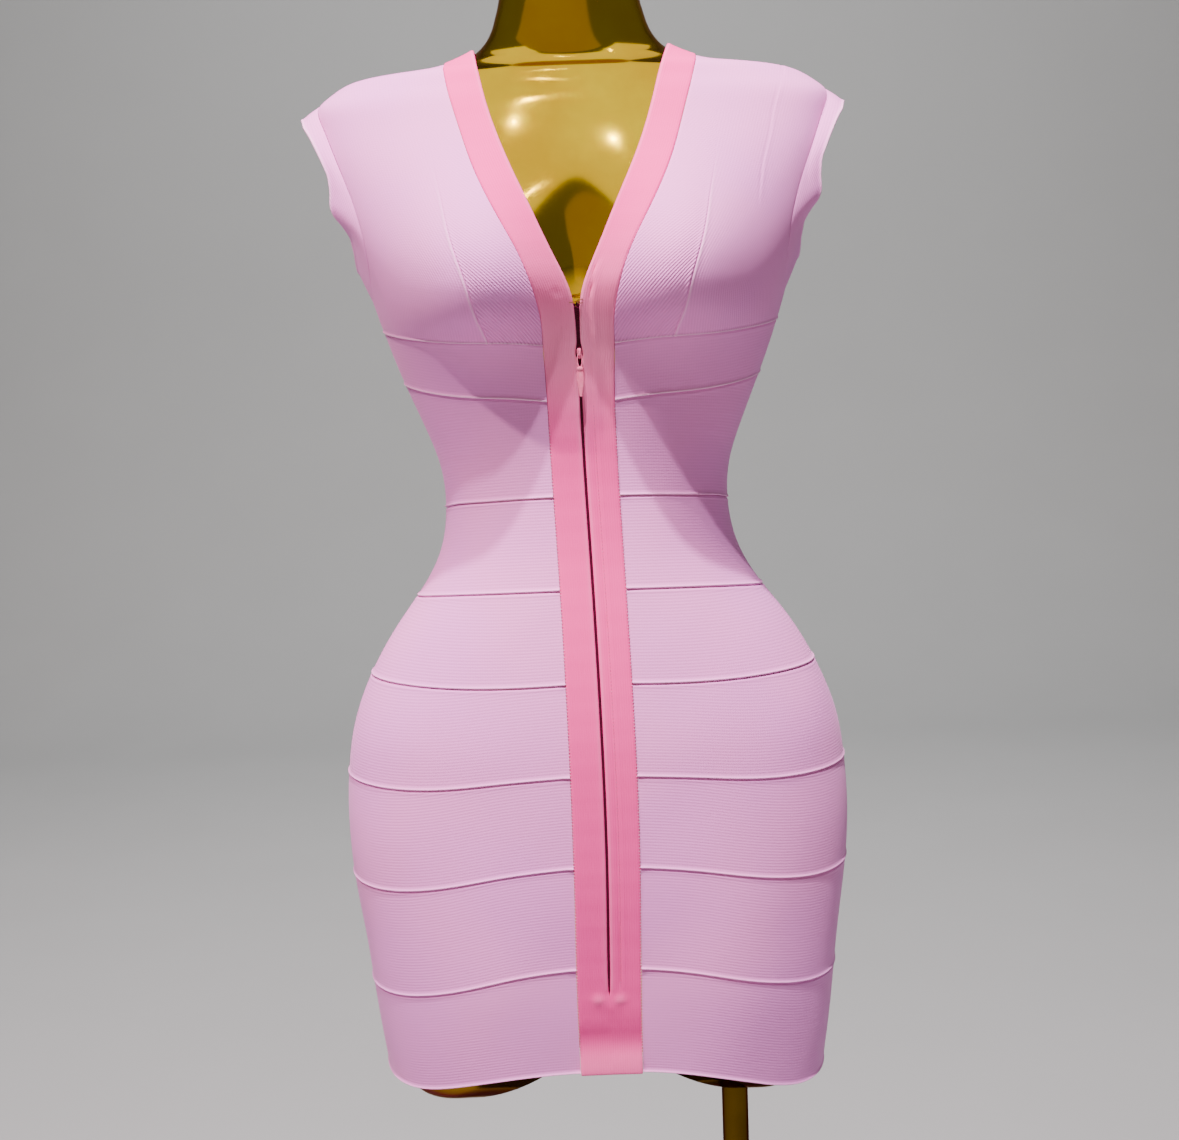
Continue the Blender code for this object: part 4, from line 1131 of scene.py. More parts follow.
@dataclass
class Bodice(Maker):
    """The two cups with their dart seams, the back panel and the binding of the back neck."""

    wall: float = 1.6 * MM
    trim_rise: float = 0.8 * MM
    trim_wall: float = 2.2 * MM
    row_step: float = 2.6 * MM
    inner_columns: int = 52
    outer_columns: int = 90
    shoulder_columns: int = 40
    neck_columns: int = 72
    armhole_top: float = 1.4265
    armhole_foot: float = 1.2790
    reach_front: float = math.radians(17.6)
    reach_back: float = math.radians(20.0)
    fullness: float = 0.45
    dart_run: Table = (  # height, degrees from the centre front
        (1.2440, 36.6), (1.2770, 38.7), (1.2995, 41.1), (1.3155, 43.2), (1.3290, 44.8),
        (1.3490, 47.2), (1.3690, 50.5), (1.4000, 56.0), (1.4400, 66.0),
    )
    dart: Ridges = (Ridge(0.65 * MM, 2.2), Ridge(-1.05 * MM, 0.55))
    # painted highlight along the dart's seam
    dart_highlight: Ridge = Ridge(0.45, 0.7, 1.2)
    dart_fade: Step = Step(1.385, -0.100)
    armhole_roll: Ridge = Ridge(0.12 * MM, 1.2)
    trim_roll: Ridge = Ridge(0.30 * MM, 0.8)
    back_roll: Ridge = Ridge(0.35 * MM, 1.2)
    binding_roll: Ridge = Ridge(0.50 * MM, 0.6)
    crease_run: Table = (  # height, x
        (1.3335, 0.1271), (1.3510, 0.1297), (1.3685, 0.1331), (1.3905, 0.1396),
        (1.4050, 0.1427), (1.4360, 0.1546),
    )
    crease_from: Step = Step(1.330, 0.030)
    crease: Ridges = (Ridge(0.22 * MM, 1.6, 1.6), Ridge(-0.42 * MM, 0.8))
    rib_lean: Pair = (math.radians(60), math.radians(90))  # in the cup, beside it
    back_ribbing: float = 0.3
    binding_ribbing: float = 0.5
    ribbing: float = 0.12
    more_ribbing: Pair = (0.75, 0.22)  # low in the cup, and beside it
    rib_fade: Step = Step(1.345, -0.060)
    underside: Swelling = Swelling(0.074, 1.268, 4.0 * MM, 0.046, 0.015, 0.014)
    binding_width: float = 0.024
    binding_step: float = 2.0 * MM
    binding_dense: Row = (0, 0.0004, 0.0009, 0.0016)
    plain_columns: int = 61
    fine_rows: int = 800
    side_share: float = 0.12
    neck_inner: float = 1.4400
    neck_outer: float = 1.4165
    neck_power: float = 2.4
    relief: SeamRelief = SeamRelief()

    def __post_init__(self) -> None:
        """Splines the neckline and measures its length on the skin."""
        table = np.array(NECKLINE_TRIM)
        knots = running_length(table[:, 2:])
        fine = Spline(knots, table)(np.linspace(0, knots[-1], self.fine_rows))
        self.neck_fine = fine
        self.neck_length = running_length(
            self.skin.point(*self.onto_skin(fine[:, 2], fine[:, 3])))
        rows = edge_rows(self.neck_length[-1], self.row_step, self.relief.dense)
        self.shares = rows / rows[-1]
        side = np.searchsorted(self.shares, self.side_share)
        self.side_rows = int(side)
        self.side_share = float(self.shares[side])

    def onto_skin(self, x: Array, height: Array) -> tuple[Array, Array]:
        """Angles and stations of points in front, whose last row lies on the shoulder's ridge.

        Args:
            x: distances from the centre, lowest row first.
            height: their heights.

        Returns:
            The angles and the stations.
        """
        skin = self.skin
        at = skin.station(height)
        at[-1] = skin.shoulder_station(x[-1])
        angle = skin.angle_at(x, at)
        angle[-1] = np.sign(x[-1]) * skin.side_angle(at[-1], -1)
        return angle, at

    def neckline_rows(self, shares: Array) -> Array:
        """Rows of the neckline trim at shares of its length, lowest first."""
        length = self.neck_length[-1] * shares
        return np.stack([np.interp(length, self.neck_length, c) for c in self.neck_fine.T], -1)

    def armhole(self, turn: Array, front: bool, shrink: float = 0.0) -> tuple[Array, Array]:
        """Angle and station of the armhole seam at turns from its top, 0, to its foot, pi.

        The seam is an egg: its height goes as cos(turn), and its reach forward or back as
        sin(turn) (1 - fullness cos(turn)), which is widest low down.

        Args:
            turn: the turns.
            front: True for the cup's edge, False for the back's.
            shrink: how much smaller than the seam the line is.

        Returns:
            The angles and the stations.
        """
        middle = (self.armhole_top + self.armhole_foot) / 2
        half = (self.armhole_top - self.armhole_foot) / 2 * (1 - shrink)
        reach = (self.reach_front if front else self.reach_back) * (1 - shrink)
        swing = reach * np.sin(turn) * (1 - self.fullness * np.cos(turn))
        at = self.skin.station(middle + half * np.cos(turn))
        return math.pi / 2 + (-swing if front else swing), at

    def side_edge(self, front: bool) -> Array:
        """The edge up the side seam and round the armhole, as angles and stations.

        Args:
            front: True for the cup's edge, False for the back's.

        Returns:
            Rows of angle and station, lowest first.
        """
        skin = self.skin
        lowest = float(self.seams.height("underbust", math.pi / 2)) + skin.gap / 2
        climb = self.shares[: self.side_rows] / self.side_share
        turn = math.pi * (1 - self.shares[self.side_rows :]) / (1 - self.side_share)
        turned, round_at = self.armhole(turn, front)
        side_at = skin.station(lowest + (self.armhole_foot - lowest) * climb)
        at = np.concatenate([side_at, round_at])
        angle = np.concatenate([np.full(self.side_rows, math.pi / 2), turned])
        angle = angle + skin.side_angle(at, -1 if front else 1) - math.pi / 2
        return np.stack([angle, at], -1)

    def cup_columns(self, ruled: Array, plain: Array, side: int) -> Array:
        """How far across each row the columns stand, crowded at the dart's seam and at the edges.

        Args:
            ruled: angles and stations of a plain grid.
            plain: how far across its columns stand.
            side: 1 for the left, -1 for the right.

        Returns:
            Rows by columns of shares, in which column inner_columns follows the dart's seam.
        """
        height = self.skin.section(ruled[..., 1])[..., 0]
        seam = np.radians(table_run(self.dart_run, height))
        over = side * ruled[..., 0] - seam
        dart = np.array([np.interp(0, row, plain) for row in over])[:, None]

        def crowded(count: int, start: float, end: float) -> Array:
            """Shares from 0 to 1 whose steps grow away from both ends."""
            k = np.arange(count)
            step = np.minimum(1, np.minimum(start + k / 7, end + (count - 1 - k) / 7))
            return np.append(0, np.cumsum(step)) / step.sum()

        inner = dart * crowded(self.inner_columns, 0.3, 0.2)
        outer = dart + (1 - dart) * crowded(self.outer_columns, 0.2, 0.4)
        return np.concatenate([inner, outer[:, 1:]], 1)

    def cup(self, node: str, side: int) -> Panel:
        """A front piece from the trim's edge to the armhole.

        Args:
            node: the CAD node.
            side: 1 for the left, -1 for the right.

        Returns:
            The panel.
        """
        skin = self.skin
        rows = self.neckline_rows(self.shares)
        height = rows[:, 3]
        x = side * (rows[:, 2] + skin.gap) + self.seams.zip_centre(height)
        left = np.stack(self.onto_skin(x, height), -1)
        start = self.seams.height("underbust", left[0, 0]) + skin.gap / 2
        left[0, 1] = skin.station(start)
        right = self.side_edge(True) * (side, 1)
        plain = np.linspace(0, 1, self.plain_columns)
        foot_angle = left[0, 0] + (right[0, 0] - left[0, 0]) * plain
        foot_at = skin.station(self.seams.height("underbust", foot_angle) + skin.gap / 2)
        top = left[-1] + (right[-1] - left[-1]) * plain[:, None]
        ruled = coons(left, right, np.stack([foot_angle, foot_at], -1), top, self.shares, plain)
        across = self.cup_columns(ruled, plain, side)
        angle, at = (np.stack([np.interp(a, plain, row) for a, row in zip(across, ruled[..., k])])
                     for k in (0, 1))
        points = skin.point(angle, at)
        along, up = lengths(points)
        z = points[..., 2]
        from_dart = along - along[:, self.inner_columns : self.inner_columns + 1]
        held = self.dart_fade.share(z)
        dart = relief(self.dart, from_dart)
        rise = self.relief.lift(up, up[-1] - up) + slack(angle, at) + held * dart
        if side > 0:
            rise = rise + self.fold(points)
        rise = rise - self.armhole_roll.over(along[:, -1:] - along) - self.trim_roll.over(along)
        in_cup = from_dart < 0
        lean = np.where(in_cup, *self.rib_lean)
        phase = along * np.sin(lean) - up * np.cos(lean)
        ribbing = self.ribbing + np.where(in_cup, *self.more_ribbing) * self.rib_fade.share(z)
        # Painted highlights: on the underbust seam's ridge and along the dart's seam
        pale = self.relief.pale(up, True) + held * self.dart_highlight.over(from_dart)
        full = self.underside.lift(points[..., 0], z) * ease(up / (6 * MM))
        lifts = (rise + full, full - self.wall)
        return self.tailor.on_skin(node, angle, at, lifts, (up, phase), ribbing, pale)

    def fold(self, points: Array) -> Array:
        """A faint crease from the shoulder down beside the left armhole."""
        off = points[..., 0] - table_run(self.crease_run, points[..., 2])
        return self.crease_from.share(points[..., 2]) * relief(self.crease, off)

    def back_neck(self, corner: Pair, lowest: float) -> Array:
        """Angles and stations of a back neck line, from one shoulder's ridge over the back.

        Args:
            corner: x and height at the shoulder.
            lowest: height at the centre back.

        Returns:
            Rows of angle and station.
        """
        skin = self.skin
        turn = np.linspace(0, math.pi, self.neck_columns + 1)
        x = corner[0] * np.cos(turn)
        height = lowest + (corner[1] - lowest) * np.abs(np.cos(turn)) ** self.neck_power
        at = skin.station(height)
        at[[0, -1]] = skin.shoulder_station(x[0])
        angle = np.abs(skin.angle_at(x, at, front=False))
        angle[[0, -1]] = skin.side_angle(at[0], 1)
        angle = np.where(x < -1e-9, 2 * math.pi - angle, angle)
        return np.stack([angle, at], -1)

    def back(self) -> Panel:
        """The back in one piece, from side seam to side seam and up to the back neck."""
        skin = self.skin
        corner = (NECKLINE_TRIM[-1][2] + skin.gap, NECKLINE_TRIM[-1][3] - skin.gap / 2)
        neck = self.back_neck(corner, self.neck_outer - skin.gap)
        across = np.linspace(0, 1, 2 * self.shoulder_columns + len(neck))
        left = self.side_edge(False)
        right = np.stack([2 * math.pi - left[:, 0], left[:, 1]], -1)
        foot_angle = left[0, 0] + (right[0, 0] - left[0, 0]) * across
        foot_at = skin.station(self.seams.height("underbust", foot_angle) + skin.gap / 2)
        shares = np.linspace(0, 1, self.shoulder_columns, endpoint=False)
        shoulder_at = left[-1, 1] + (neck[0, 1] - left[-1, 1]) * shares
        shoulder = np.stack([skin.side_angle(shoulder_at, 1), shoulder_at], -1)
        far = np.stack([2 * math.pi - shoulder[::-1, 0], shoulder[::-1, 1]], -1)
        top = np.concatenate([shoulder, neck, far])
        grid = coons(left, right, np.stack([foot_angle, foot_at], -1), top, self.shares, across)
        angle, at = grid[..., 0], grid[..., 1]
        points = skin.point(angle, at)
        along, up = lengths(points)
        rise = self.relief.lift(up, up[-1] - up) + slack(angle, at)
        rise = rise - self.back_roll.over(np.minimum(along, along[:, -1:] - along))
        lifts = (rise, -self.wall)
        return self.tailor.on_skin("bodice_back", angle, at, lifts, (along, up), self.back_ribbing,
                                   self.relief.pale(up, False))

    def binding(self) -> Panel:
        """The strip that binds the back neck between the shoulder seams."""
        inner = self.back_neck(NECKLINE_TRIM[-1][:2], self.neck_inner)
        outer = self.back_neck(NECKLINE_TRIM[-1][2:], self.neck_outer)
        share = edge_rows(self.binding_width, self.binding_step, self.binding_dense)
        share = share / self.binding_width
        grid = inner + (outer - inner) * share[:, None, None]
        angle, at = grid[..., 0], grid[..., 1]
        points = self.skin.point(angle, at)
        along, up = lengths(points)
        rise = self.trim_rise - self.binding_roll.over(np.minimum(up, up[-1] - up))
        lifts = (rise, self.trim_rise - self.trim_wall)
        return self.tailor.on_skin("back_neck_binding", angle, at, lifts, (along, up),
                                   self.binding_ribbing, 0.0)

    def build(self) -> None:
        """Builds the four pieces."""
        for word, side in SIDES:
            self.tailor.sew(self.cup(f"bodice_{word}", side), Slot.KNIT, self.wardrobe.knit)
        self.tailor.sew(self.back(), Slot.KNIT, self.wardrobe.knit)
        self.tailor.sew(self.binding(), Slot.TRIM, self.wardrobe.trim)


# ------ cap sleeves
@dataclass
class CapSleeves(Maker):
    """The cap sleeves: a band lofted from the armhole seam out to its free edge."""

    bodice: Bodice
    wall: float = 1.6 * MM
    edge_run: Table = (  # degrees round from the top, x
        (0, 0.2025), (30, 0.1980), (60, 0.1864), (78, 0.1792), (90, 0.1780),
        (100, 0.1788), (107, 0.1770), (114, 0.1712), (124, 0.1660), (140, 0.1645),
        (180, 0.1655),
    )
    edge_heights: Pair = (1.4157, 1.3040)
    half_depth: float = 0.0430
    bulge: float = 0.5 * MM
    turns: int = 90
    tuck: float = 0.004
    fine_turns: int = 361
    softened: int = 13
    step: float = 0.06
    across: Row = (0, 0.012, 0.03, 0.055, 0.09)
    edge: Ridges = (Ridge(0.70 * MM, 1.1, 0.9), Ridge(-0.50 * MM, 0.3))
    seam_roll: Ridge = Ridge(0.12 * MM, 0.7)
    # painted highlight along the sleeve's rolled free edge
    sleeve_edge_highlight: Ridge = Ridge(0.6, 1.0, 0.6)
    ribbing: float = 0.25

    def band(self, node: str, side: int) -> Panel:
        """One sleeve's band.

        Args:
            node: the CAD node.
            side: 1 for the left, -1 for the right.

        Returns:
            The panel.
        """
        skin = self.skin
        forward = np.linspace(0, math.pi, self.turns)
        back = forward[-2:0:-1]
        seam = np.concatenate([skin.point(*self.bodice.armhole(turned, front, self.tuck))
                               for turned, front in ((forward, True), (back, False))])
        turn = np.concatenate([forward, back])
        facing = np.concatenate([-np.ones(len(forward)), np.ones(len(back))])
        run = np.array(self.edge_run)
        high, low = self.edge_heights
        fine = np.linspace(0, math.pi, self.fine_turns)
        soft = np.interp(np.degrees(fine), run[:, 0], run[:, 1])
        soft = np.pad(soft, self.softened // 2, mode="edge")
        soft = np.convolve(soft, np.full(self.softened, 1 / self.softened), "valid")
        edge = np.stack([
            np.interp(turn, fine, soft),
            facing * self.half_depth * np.sin(turn),
            low + (high - low) * (1 + np.cos(turn)) / 2,
        ], -1)
        out = edge_rows(1, self.step, self.across)[:, None, None]
        away = unit((edge - edge.mean(0)) * (0, 1, 1))
        middle = seam + (edge - seam) * out + away * self.bulge * 4 * out * (1 - out)
        round_way = np.roll(middle, -1, axis=1) - np.roll(middle, 1, axis=1)
        normal = unit(np.cross(round_way, np.gradient(middle, axis=0)))
        normal *= np.sign((normal * away).sum(-1, keepdims=True))
        length = np.linalg.norm(edge - seam, axis=-1)
        from_seam, from_edge = out[..., 0] * length, (1 - out[..., 0]) * length
        rise = relief(self.edge, from_edge) - self.seam_roll.over(from_seam)
        outer = middle + normal * rise[..., None]
        inner = middle - normal * self.wall
        mirror = np.array([side, 1, 1])
        closed = np.concatenate([middle, middle[:, :1]], 1)
        along = lengths(closed)[0][:, :-1]
        weave = np.stack([along, from_seam], -1)
        return Panel(node, outer * mirror, inner * mirror, weave, self.ribbing,
                     self.sleeve_edge_highlight.over(from_edge), ring=True)

    def build(self) -> None:
        """Builds both sleeves."""
        for word, side in SIDES:
            panel = self.band(f"sleeve_band_{word}", side)
            self.tailor.sew(panel, Slot.KNIT, self.wardrobe.knit)


# ------ trim and sewing
def stitch_row(
    name: str,
    start: Array,
    end: Array,
    out: Array,
    radius: float,
    arch: float,
    material: Material,
) -> Piece:
    """Stitches, each a short five-sided thread that arches out and dives in at both ends.

    A stitch's centre line is start + (end - start) t + out arch sin(pi t), and its radius
    shrinks to a third at the ends.

    Args:
        name: the piece's name.
        start: where each stitch starts.
        end: where each stitch ends.
        out: the cloth's outward normal at each.
        radius: the thread's radius.
        arch: how far a stitch stands out at its middle.
        material: the thread's finish.

    Returns:
        The object.
    """
    corners = 5
    share = np.linspace(0, 1, corners)[None, :, None]
    line = end - start
    centre = start[:, None] + line[:, None] * share
    centre = centre + out[:, None] * arch * np.sin(math.pi * share)
    across = unit(np.cross(line, out))
    turn = round_turn(corners)
    ring = across[:, None, None] * np.cos(turn)[None, None, :, None]
    ring = ring + out[:, None, None] * np.sin(turn)[None, None, :, None]
    size = radius * (1 / 3 + 2 / 3 * np.sin(math.pi * share))[..., None]
    points = centre[:, :, None] + ring * size
    offset = corners**2 * np.arange(len(start))[:, None, None]
    sides = (grid_quads(corners, corners, ring=True)[None] + offset).reshape(-1, 4)
    ring = np.arange(corners)
    caps = np.stack([ring[::-1], corners * (corners - 1) + ring])
    ends = (caps[None] + offset).reshape(-1, corners)
    thing = make_object(name, points, [sides, ends], material)
    turn_out(thing.data, 1e-8)
    return attach(thing, Slot.TRIM)


@dataclass(frozen=True)
class Stitching:
    """Stitches along a strip.

    They keep to its inner edge, 0, or its outer edge, 1. Each starts so far from the edge and off
    the skin, and ends so far from the edge, up the strip and off the skin.
    """

    edge: int
    pitch: float
    start: Pair
    end: Place
    radius: float
    arch: float


@dataclass
class FrontTrim(Maker):
    """The deeper pink strips from the shoulders round the V and down the zip to the hem."""

    bodice: Bodice
    rise: float = 0.8 * MM
    wall: float = 2.2 * MM
    row_step: float = 2.2 * MM
    zip_end: float = 0.7745
    sewn_to: float = 1.2000
    sewn_from: float = 4.0 * MM
    overlock: Stitching = Stitching(1, 2.4 * MM, (-0.9 * MM, 0.75 * MM),
                                    (0.8 * MM, 0.5 * MM, 0.15 * MM), 0.16 * MM, 0.22 * MM)
    topstitch: Stitching = Stitching(0, 2.6 * MM, (7.7 * MM, 0.42 * MM),
                                     (7.7 * MM, 1.612 * MM, 0.42 * MM), 0.18 * MM, 0.25 * MM)
    column_step: float = 1.9 * MM
    ribbing: float = 0.5
    width: float = 0.0235
    dense: Row = (0, 0.0002, 0.0005, 0.0009, 0.0015, 0.0023)
    hem_dense: Row = (0, 0.0003, 0.0007, 0.0012, 0.0019)
    # Low relief in millimetres: first across the strip, from its inner or its outer edge
    inner_roll: Ridges = (Ridge(0.75, 0.5), Ridge(-0.18, 1.2, 2.2))
    outer_roll: Ridges = (Ridge(0.55, 0.45), Ridge(0.25, 1.4))
    # Across it from the line of topstitching
    groove: Ridges = (Ridge(0.75, 0.5), Ridge(-0.45, 0.9, 1.3))
    fold: Ridges = (Ridge(0.75, 1.1, -0.6), Ridge(-0.60, 2.0, 3.0))
    line_in: float = 3.2 * MM  # how far the line moves in above the bust
    line_turn: Step = Step(1.275, 0.028)
    sewn_below: Step = Step(1.305, -0.010)
    fold_above: Step = Step(1.240, 0.012)
    # From the zip's end, and from the inner edge
    pucker: Patch = Patch(1.10, (-6.0, 3.6), (8.0, 4.0))
    tongue: Patch = Patch(0.45, (-11.0, 6.0), (0, 7.0))
    pinch: Patch = Patch(0.35, (-0.5, 2.2), (0, 1.6))
    valley: Ridge = Ridge(1.30, 11.0, -38.0)
    # From the hem, and at these heights
    hem_roll: Ridge = Ridge(0.50, 0.45)
    hem_rise: float = 2.4
    hem_turn: Step = Step(0.7310, -0.021)
    dimples: tuple[Patch, ...] = (
        Patch(0.55, (1281, 3.0), (10.5, 2.4)),
        Patch(0.55, (1257, 3.0), (9.0, 2.4)),
    )
    # Where the strip is painted pale: a painted highlight along its folded edge, painted light where
    # the bust's shadow falls on it, and painted highlights on the puckers and on the flared hem
    trim_edge_highlight: Ridge = Ridge(0.20, 0.9, 1.2)
    light_in_bust_shadow: Ridge = Ridge(0.60, 50, 1248)
    pucker_highlight: float = 0.2
    hem_highlight: float = 0.25
    hem_highlight_turn: Step = Step(0.7430, -0.028)

    def rows(self) -> Array:
        """All rows, hem first: inner edge x and height, outer edge x and height."""
        low, high = ZIP_TRIM[-1][0], ZIP_TRIM[0][0]
        hem = low + np.array(self.hem_dense)
        count = round((high - low) / self.row_step)
        height = np.concatenate([hem, np.linspace(hem[-1], high, count)[1:-1]])
        inner, outer = self.seams.trim_edges(height)
        lower = np.stack([inner, height, outer, height], -1)
        length = self.bodice.neck_length[-1]
        upper = self.bodice.neckline_rows(np.linspace(0, 1, round(length / self.row_step)))
        upper[:, 0] += self.seams.slider_gap(upper[:, 1])
        return np.concatenate([lower, upper])

    def sewn_fold(self, from_inner: Array, height: Array) -> Array:
        """How deep the left strip's topstitching pulls in, with a fold beside it at the bust.

        Args:
            from_inner: distance from the edge at the zip.
            height: heights.

        Returns:
            The depth in millimetres.
        """
        line = self.topstitch.start[0] - self.line_in * self.line_turn.share(height)
        off = from_inner - line
        held = self.sewn_below.share(height) * ease((height - self.zip_end) / (8 * MM))
        fold = relief(self.fold, off) * self.fold_above.share(height)
        return held * (relief(self.groove, off) + fold)

    def face(self, from_inner: Array, from_outer: Array, height: Array, side: int) -> Array:
        """The strip's relief.

        Args:
            from_inner: distance from the edge at the zip.
            from_outer: distance from the outer edge.
            height: height of each point.
            side: 1 for the left, -1 for the right.

        Returns:
            The lift over the strip's face: edges folded round, the topstitching's groove, the
            turned hem, and puckers where the zip ends.
        """
        end = height - self.zip_end
        open_zip = ease((end + 2 * MM) / (3 * MM))
        rolled = relief(self.inner_roll, from_inner) * open_zip
        rolled = rolled + relief(self.outer_roll, from_outer)
        middle = (height - 1.2500) / 0.5
        waves = 0.05 * np.sin(160 * middle + side) + 0.02 * np.sin(391 * middle)
        if side > 0:
            sewn = self.sewn_fold(from_inner, height)
        else:
            sewn = sum(dimple.over(height, from_inner) for dimple in self.dimples)
        peaks = self.pucker.over(end, from_inner) + self.tongue.over(end, from_inner)
        dents = self.valley.over(end) + self.pinch.over(end, from_inner)
        hem = self.hem_roll.over(height - ZIP_TRIM[-1][0])
        hem = hem - self.hem_rise * self.hem_turn.share(height)
        return MM * (peaks + waves - rolled - sewn - dents - hem)

    def strip(self, node: str, side: int) -> Panel:
        """One strip from the shoulder seam down to the hem.

        Args:
            node: the CAD node.
            side: 1 for the left, -1 for the right.

        Returns:
            The panel.
        """
        rows = self.rows()
        across = edge_rows(self.width, self.column_step, self.dense) / self.width
        x = rows[:, 0:1] + (rows[:, 2:3] - rows[:, 0:1]) * across
        height = rows[:, 1:2] + (rows[:, 3:4] - rows[:, 1:2]) * across
        angle, at = self.bodice.onto_skin(side * x + self.seams.zip_centre(height), height)
        points = self.skin.point(angle, at)
        over, along = lengths(points)
        lift = self.rise + self.face(over, over[:, -1:] - over, height, side)
        end = height - self.zip_end
        # Painted highlights on the folded edge, the puckers and the flared hem, and painted light where
        # the bust's shadow falls
        pale = self.trim_edge_highlight.over(over) * ease(end / (3 * MM)) + self.light_in_bust_shadow.over(height)
        pale = pale + self.pucker_highlight / self.pucker.rise * self.pucker.over(end, over)
        pale = pale + self.hem_highlight * self.hem_highlight_turn.share(height)
        lifts = (lift, self.rise - self.wall)
        return self.tailor.on_skin(node, angle, at, lifts, (along, over), self.ribbing, pale)

    def edge_points(self, x: Array, height: Array, side: int, lift: float) -> tuple[Array, Array]:
        """Points and normals of the skin at distances from the zip's centre line.

        Args:
            x: distances from the zip's centre line.
            height: heights.
            side: 1 for the left, -1 for the right.
            lift: how far off the skin.

        Returns:
            The points and the normals.
        """
        skin = self.skin
        at = skin.station(height)
        angle = skin.angle_at(side * x + self.seams.zip_centre(height), at)
        return skin.lifted(angle, at, lift), skin.normal(angle, at)

    def sewing(self, name: str, side: int, low: float, stitch: Stitching, thread: Material) -> None:
        """Sews one row of stitches up a strip.

        Args:
            name: the piece's name.
            side: 1 for the left, -1 for the right.
            low: the height that it starts a little above.
            stitch: the kind of stitch.
            thread: the thread's finish.
        """
        height = np.arange(low + self.sewn_from, self.sewn_to, stitch.pitch)
        edge = self.seams.trim_edges(height)[stitch.edge]
        (off, lift), (end_off, end_up, end_lift) = stitch.start, stitch.end
        start, out = self.edge_points(edge + off, height, side, lift)
        end, _ = self.edge_points(edge + end_off, height + end_up, side, end_lift)
        stitch_row(name, start, end, out, stitch.radius, stitch.arch, thread)

    def build(self) -> None:
        """Builds both strips, their overlocking, and the left strip's topstitching."""
        for word, side in SIDES:
            panel = self.strip(f"front_trim_{word}", side)
            self.tailor.sew(panel, Slot.TRIM, self.wardrobe.trim)
            self.sewing(f"overlock_{word}", side, ZIP_TRIM[-1][0], self.overlock,
                        self.wardrobe.thread)
            if side > 0:
                self.sewing("topstitch_left", side, self.zip_end, self.topstitch,
                            self.wardrobe.dark_thread)


# ------ zip
def capped(rings: Array, first: Array, last: Array) -> Array:
    """Rings with one more at each end, shrunk to a point."""
    foot, head = (np.broadcast_to(point, (1, *rings.shape[1:])) for point in (first, last))
    return np.concatenate([foot, rings, head])


def tube(points: Array, radius: float, sides: int, normal: Sequence[float]) -> Array:
    """Rings of a round tube along a path, with its ends closed to points.

    Args:
        points: the path.
        radius: the tube's radius.
        sides: corners of each ring.
        normal: a vector across the path that each ring is turned from.

    Returns:
        The rings' points.
    """
    tangent = unit(np.gradient(points, axis=0))
    first = unit(np.cross(tangent, normal))
    second = np.cross(tangent, first)
    turn = round_turn(sides)[None, :, None]
    round_path = first[:, None] * np.cos(turn) + second[:, None] * np.sin(turn)
    return capped(points[:, None] + radius * round_path, points[0], points[-1])


def solid_of(name: str, grids: Sequence[Array], material: Material) -> Piece:
    """One object of several closed grids whose columns are rings and whose ends are points.

    Args:
        name: the piece's name.
        grids: rings of points, rows by columns.
        material: its finish.

    Returns:
        The object.
    """
    faces, points, start = [], [], 0
    for grid in grids:
        rows, columns = grid.shape[:2]
        faces.append(grid_quads(rows, columns, ring=True, start=start))
        points.append(grid.reshape(-1, 3))
        start += rows * columns
    thing = make_object(name, np.concatenate(points), faces, material)
    turn_out(thing.data, 1e-7)
    thing.data.shade_smooth()
    return thing


def pebble(size: Place, place: Place, power: float) -> Array:
    """A rounded block: a superellipsoid |x/a|^n + |y/b|^n + |z/c|^n = 1 about a place.

    Args:
        size: the block's size across, out and up, in millimetres.
        place: its middle, in millimetres.
        power: how square it is: 2 is an ellipsoid.

    Returns:
        Rows of points from its foot to its top, in metres.
    """
    up = np.linspace(-math.pi / 2, math.pi / 2, PEBBLE_GRID[0])[:, None]
    turn = round_turn(PEBBLE_GRID[1])[None]

    def rounded(value: Array) -> Array:
        """A sine or cosine bent towards the corners of a square."""
        return np.sign(value) * np.abs(value) ** (2 / power)

    grid = np.stack([
        rounded(np.cos(up)) * rounded(np.cos(turn)),
        rounded(np.cos(up)) * rounded(np.sin(turn)),
        rounded(np.sin(up)) * np.ones_like(turn),
    ], -1)
    return MM * (grid * np.array(size) / 2 + np.array(place))


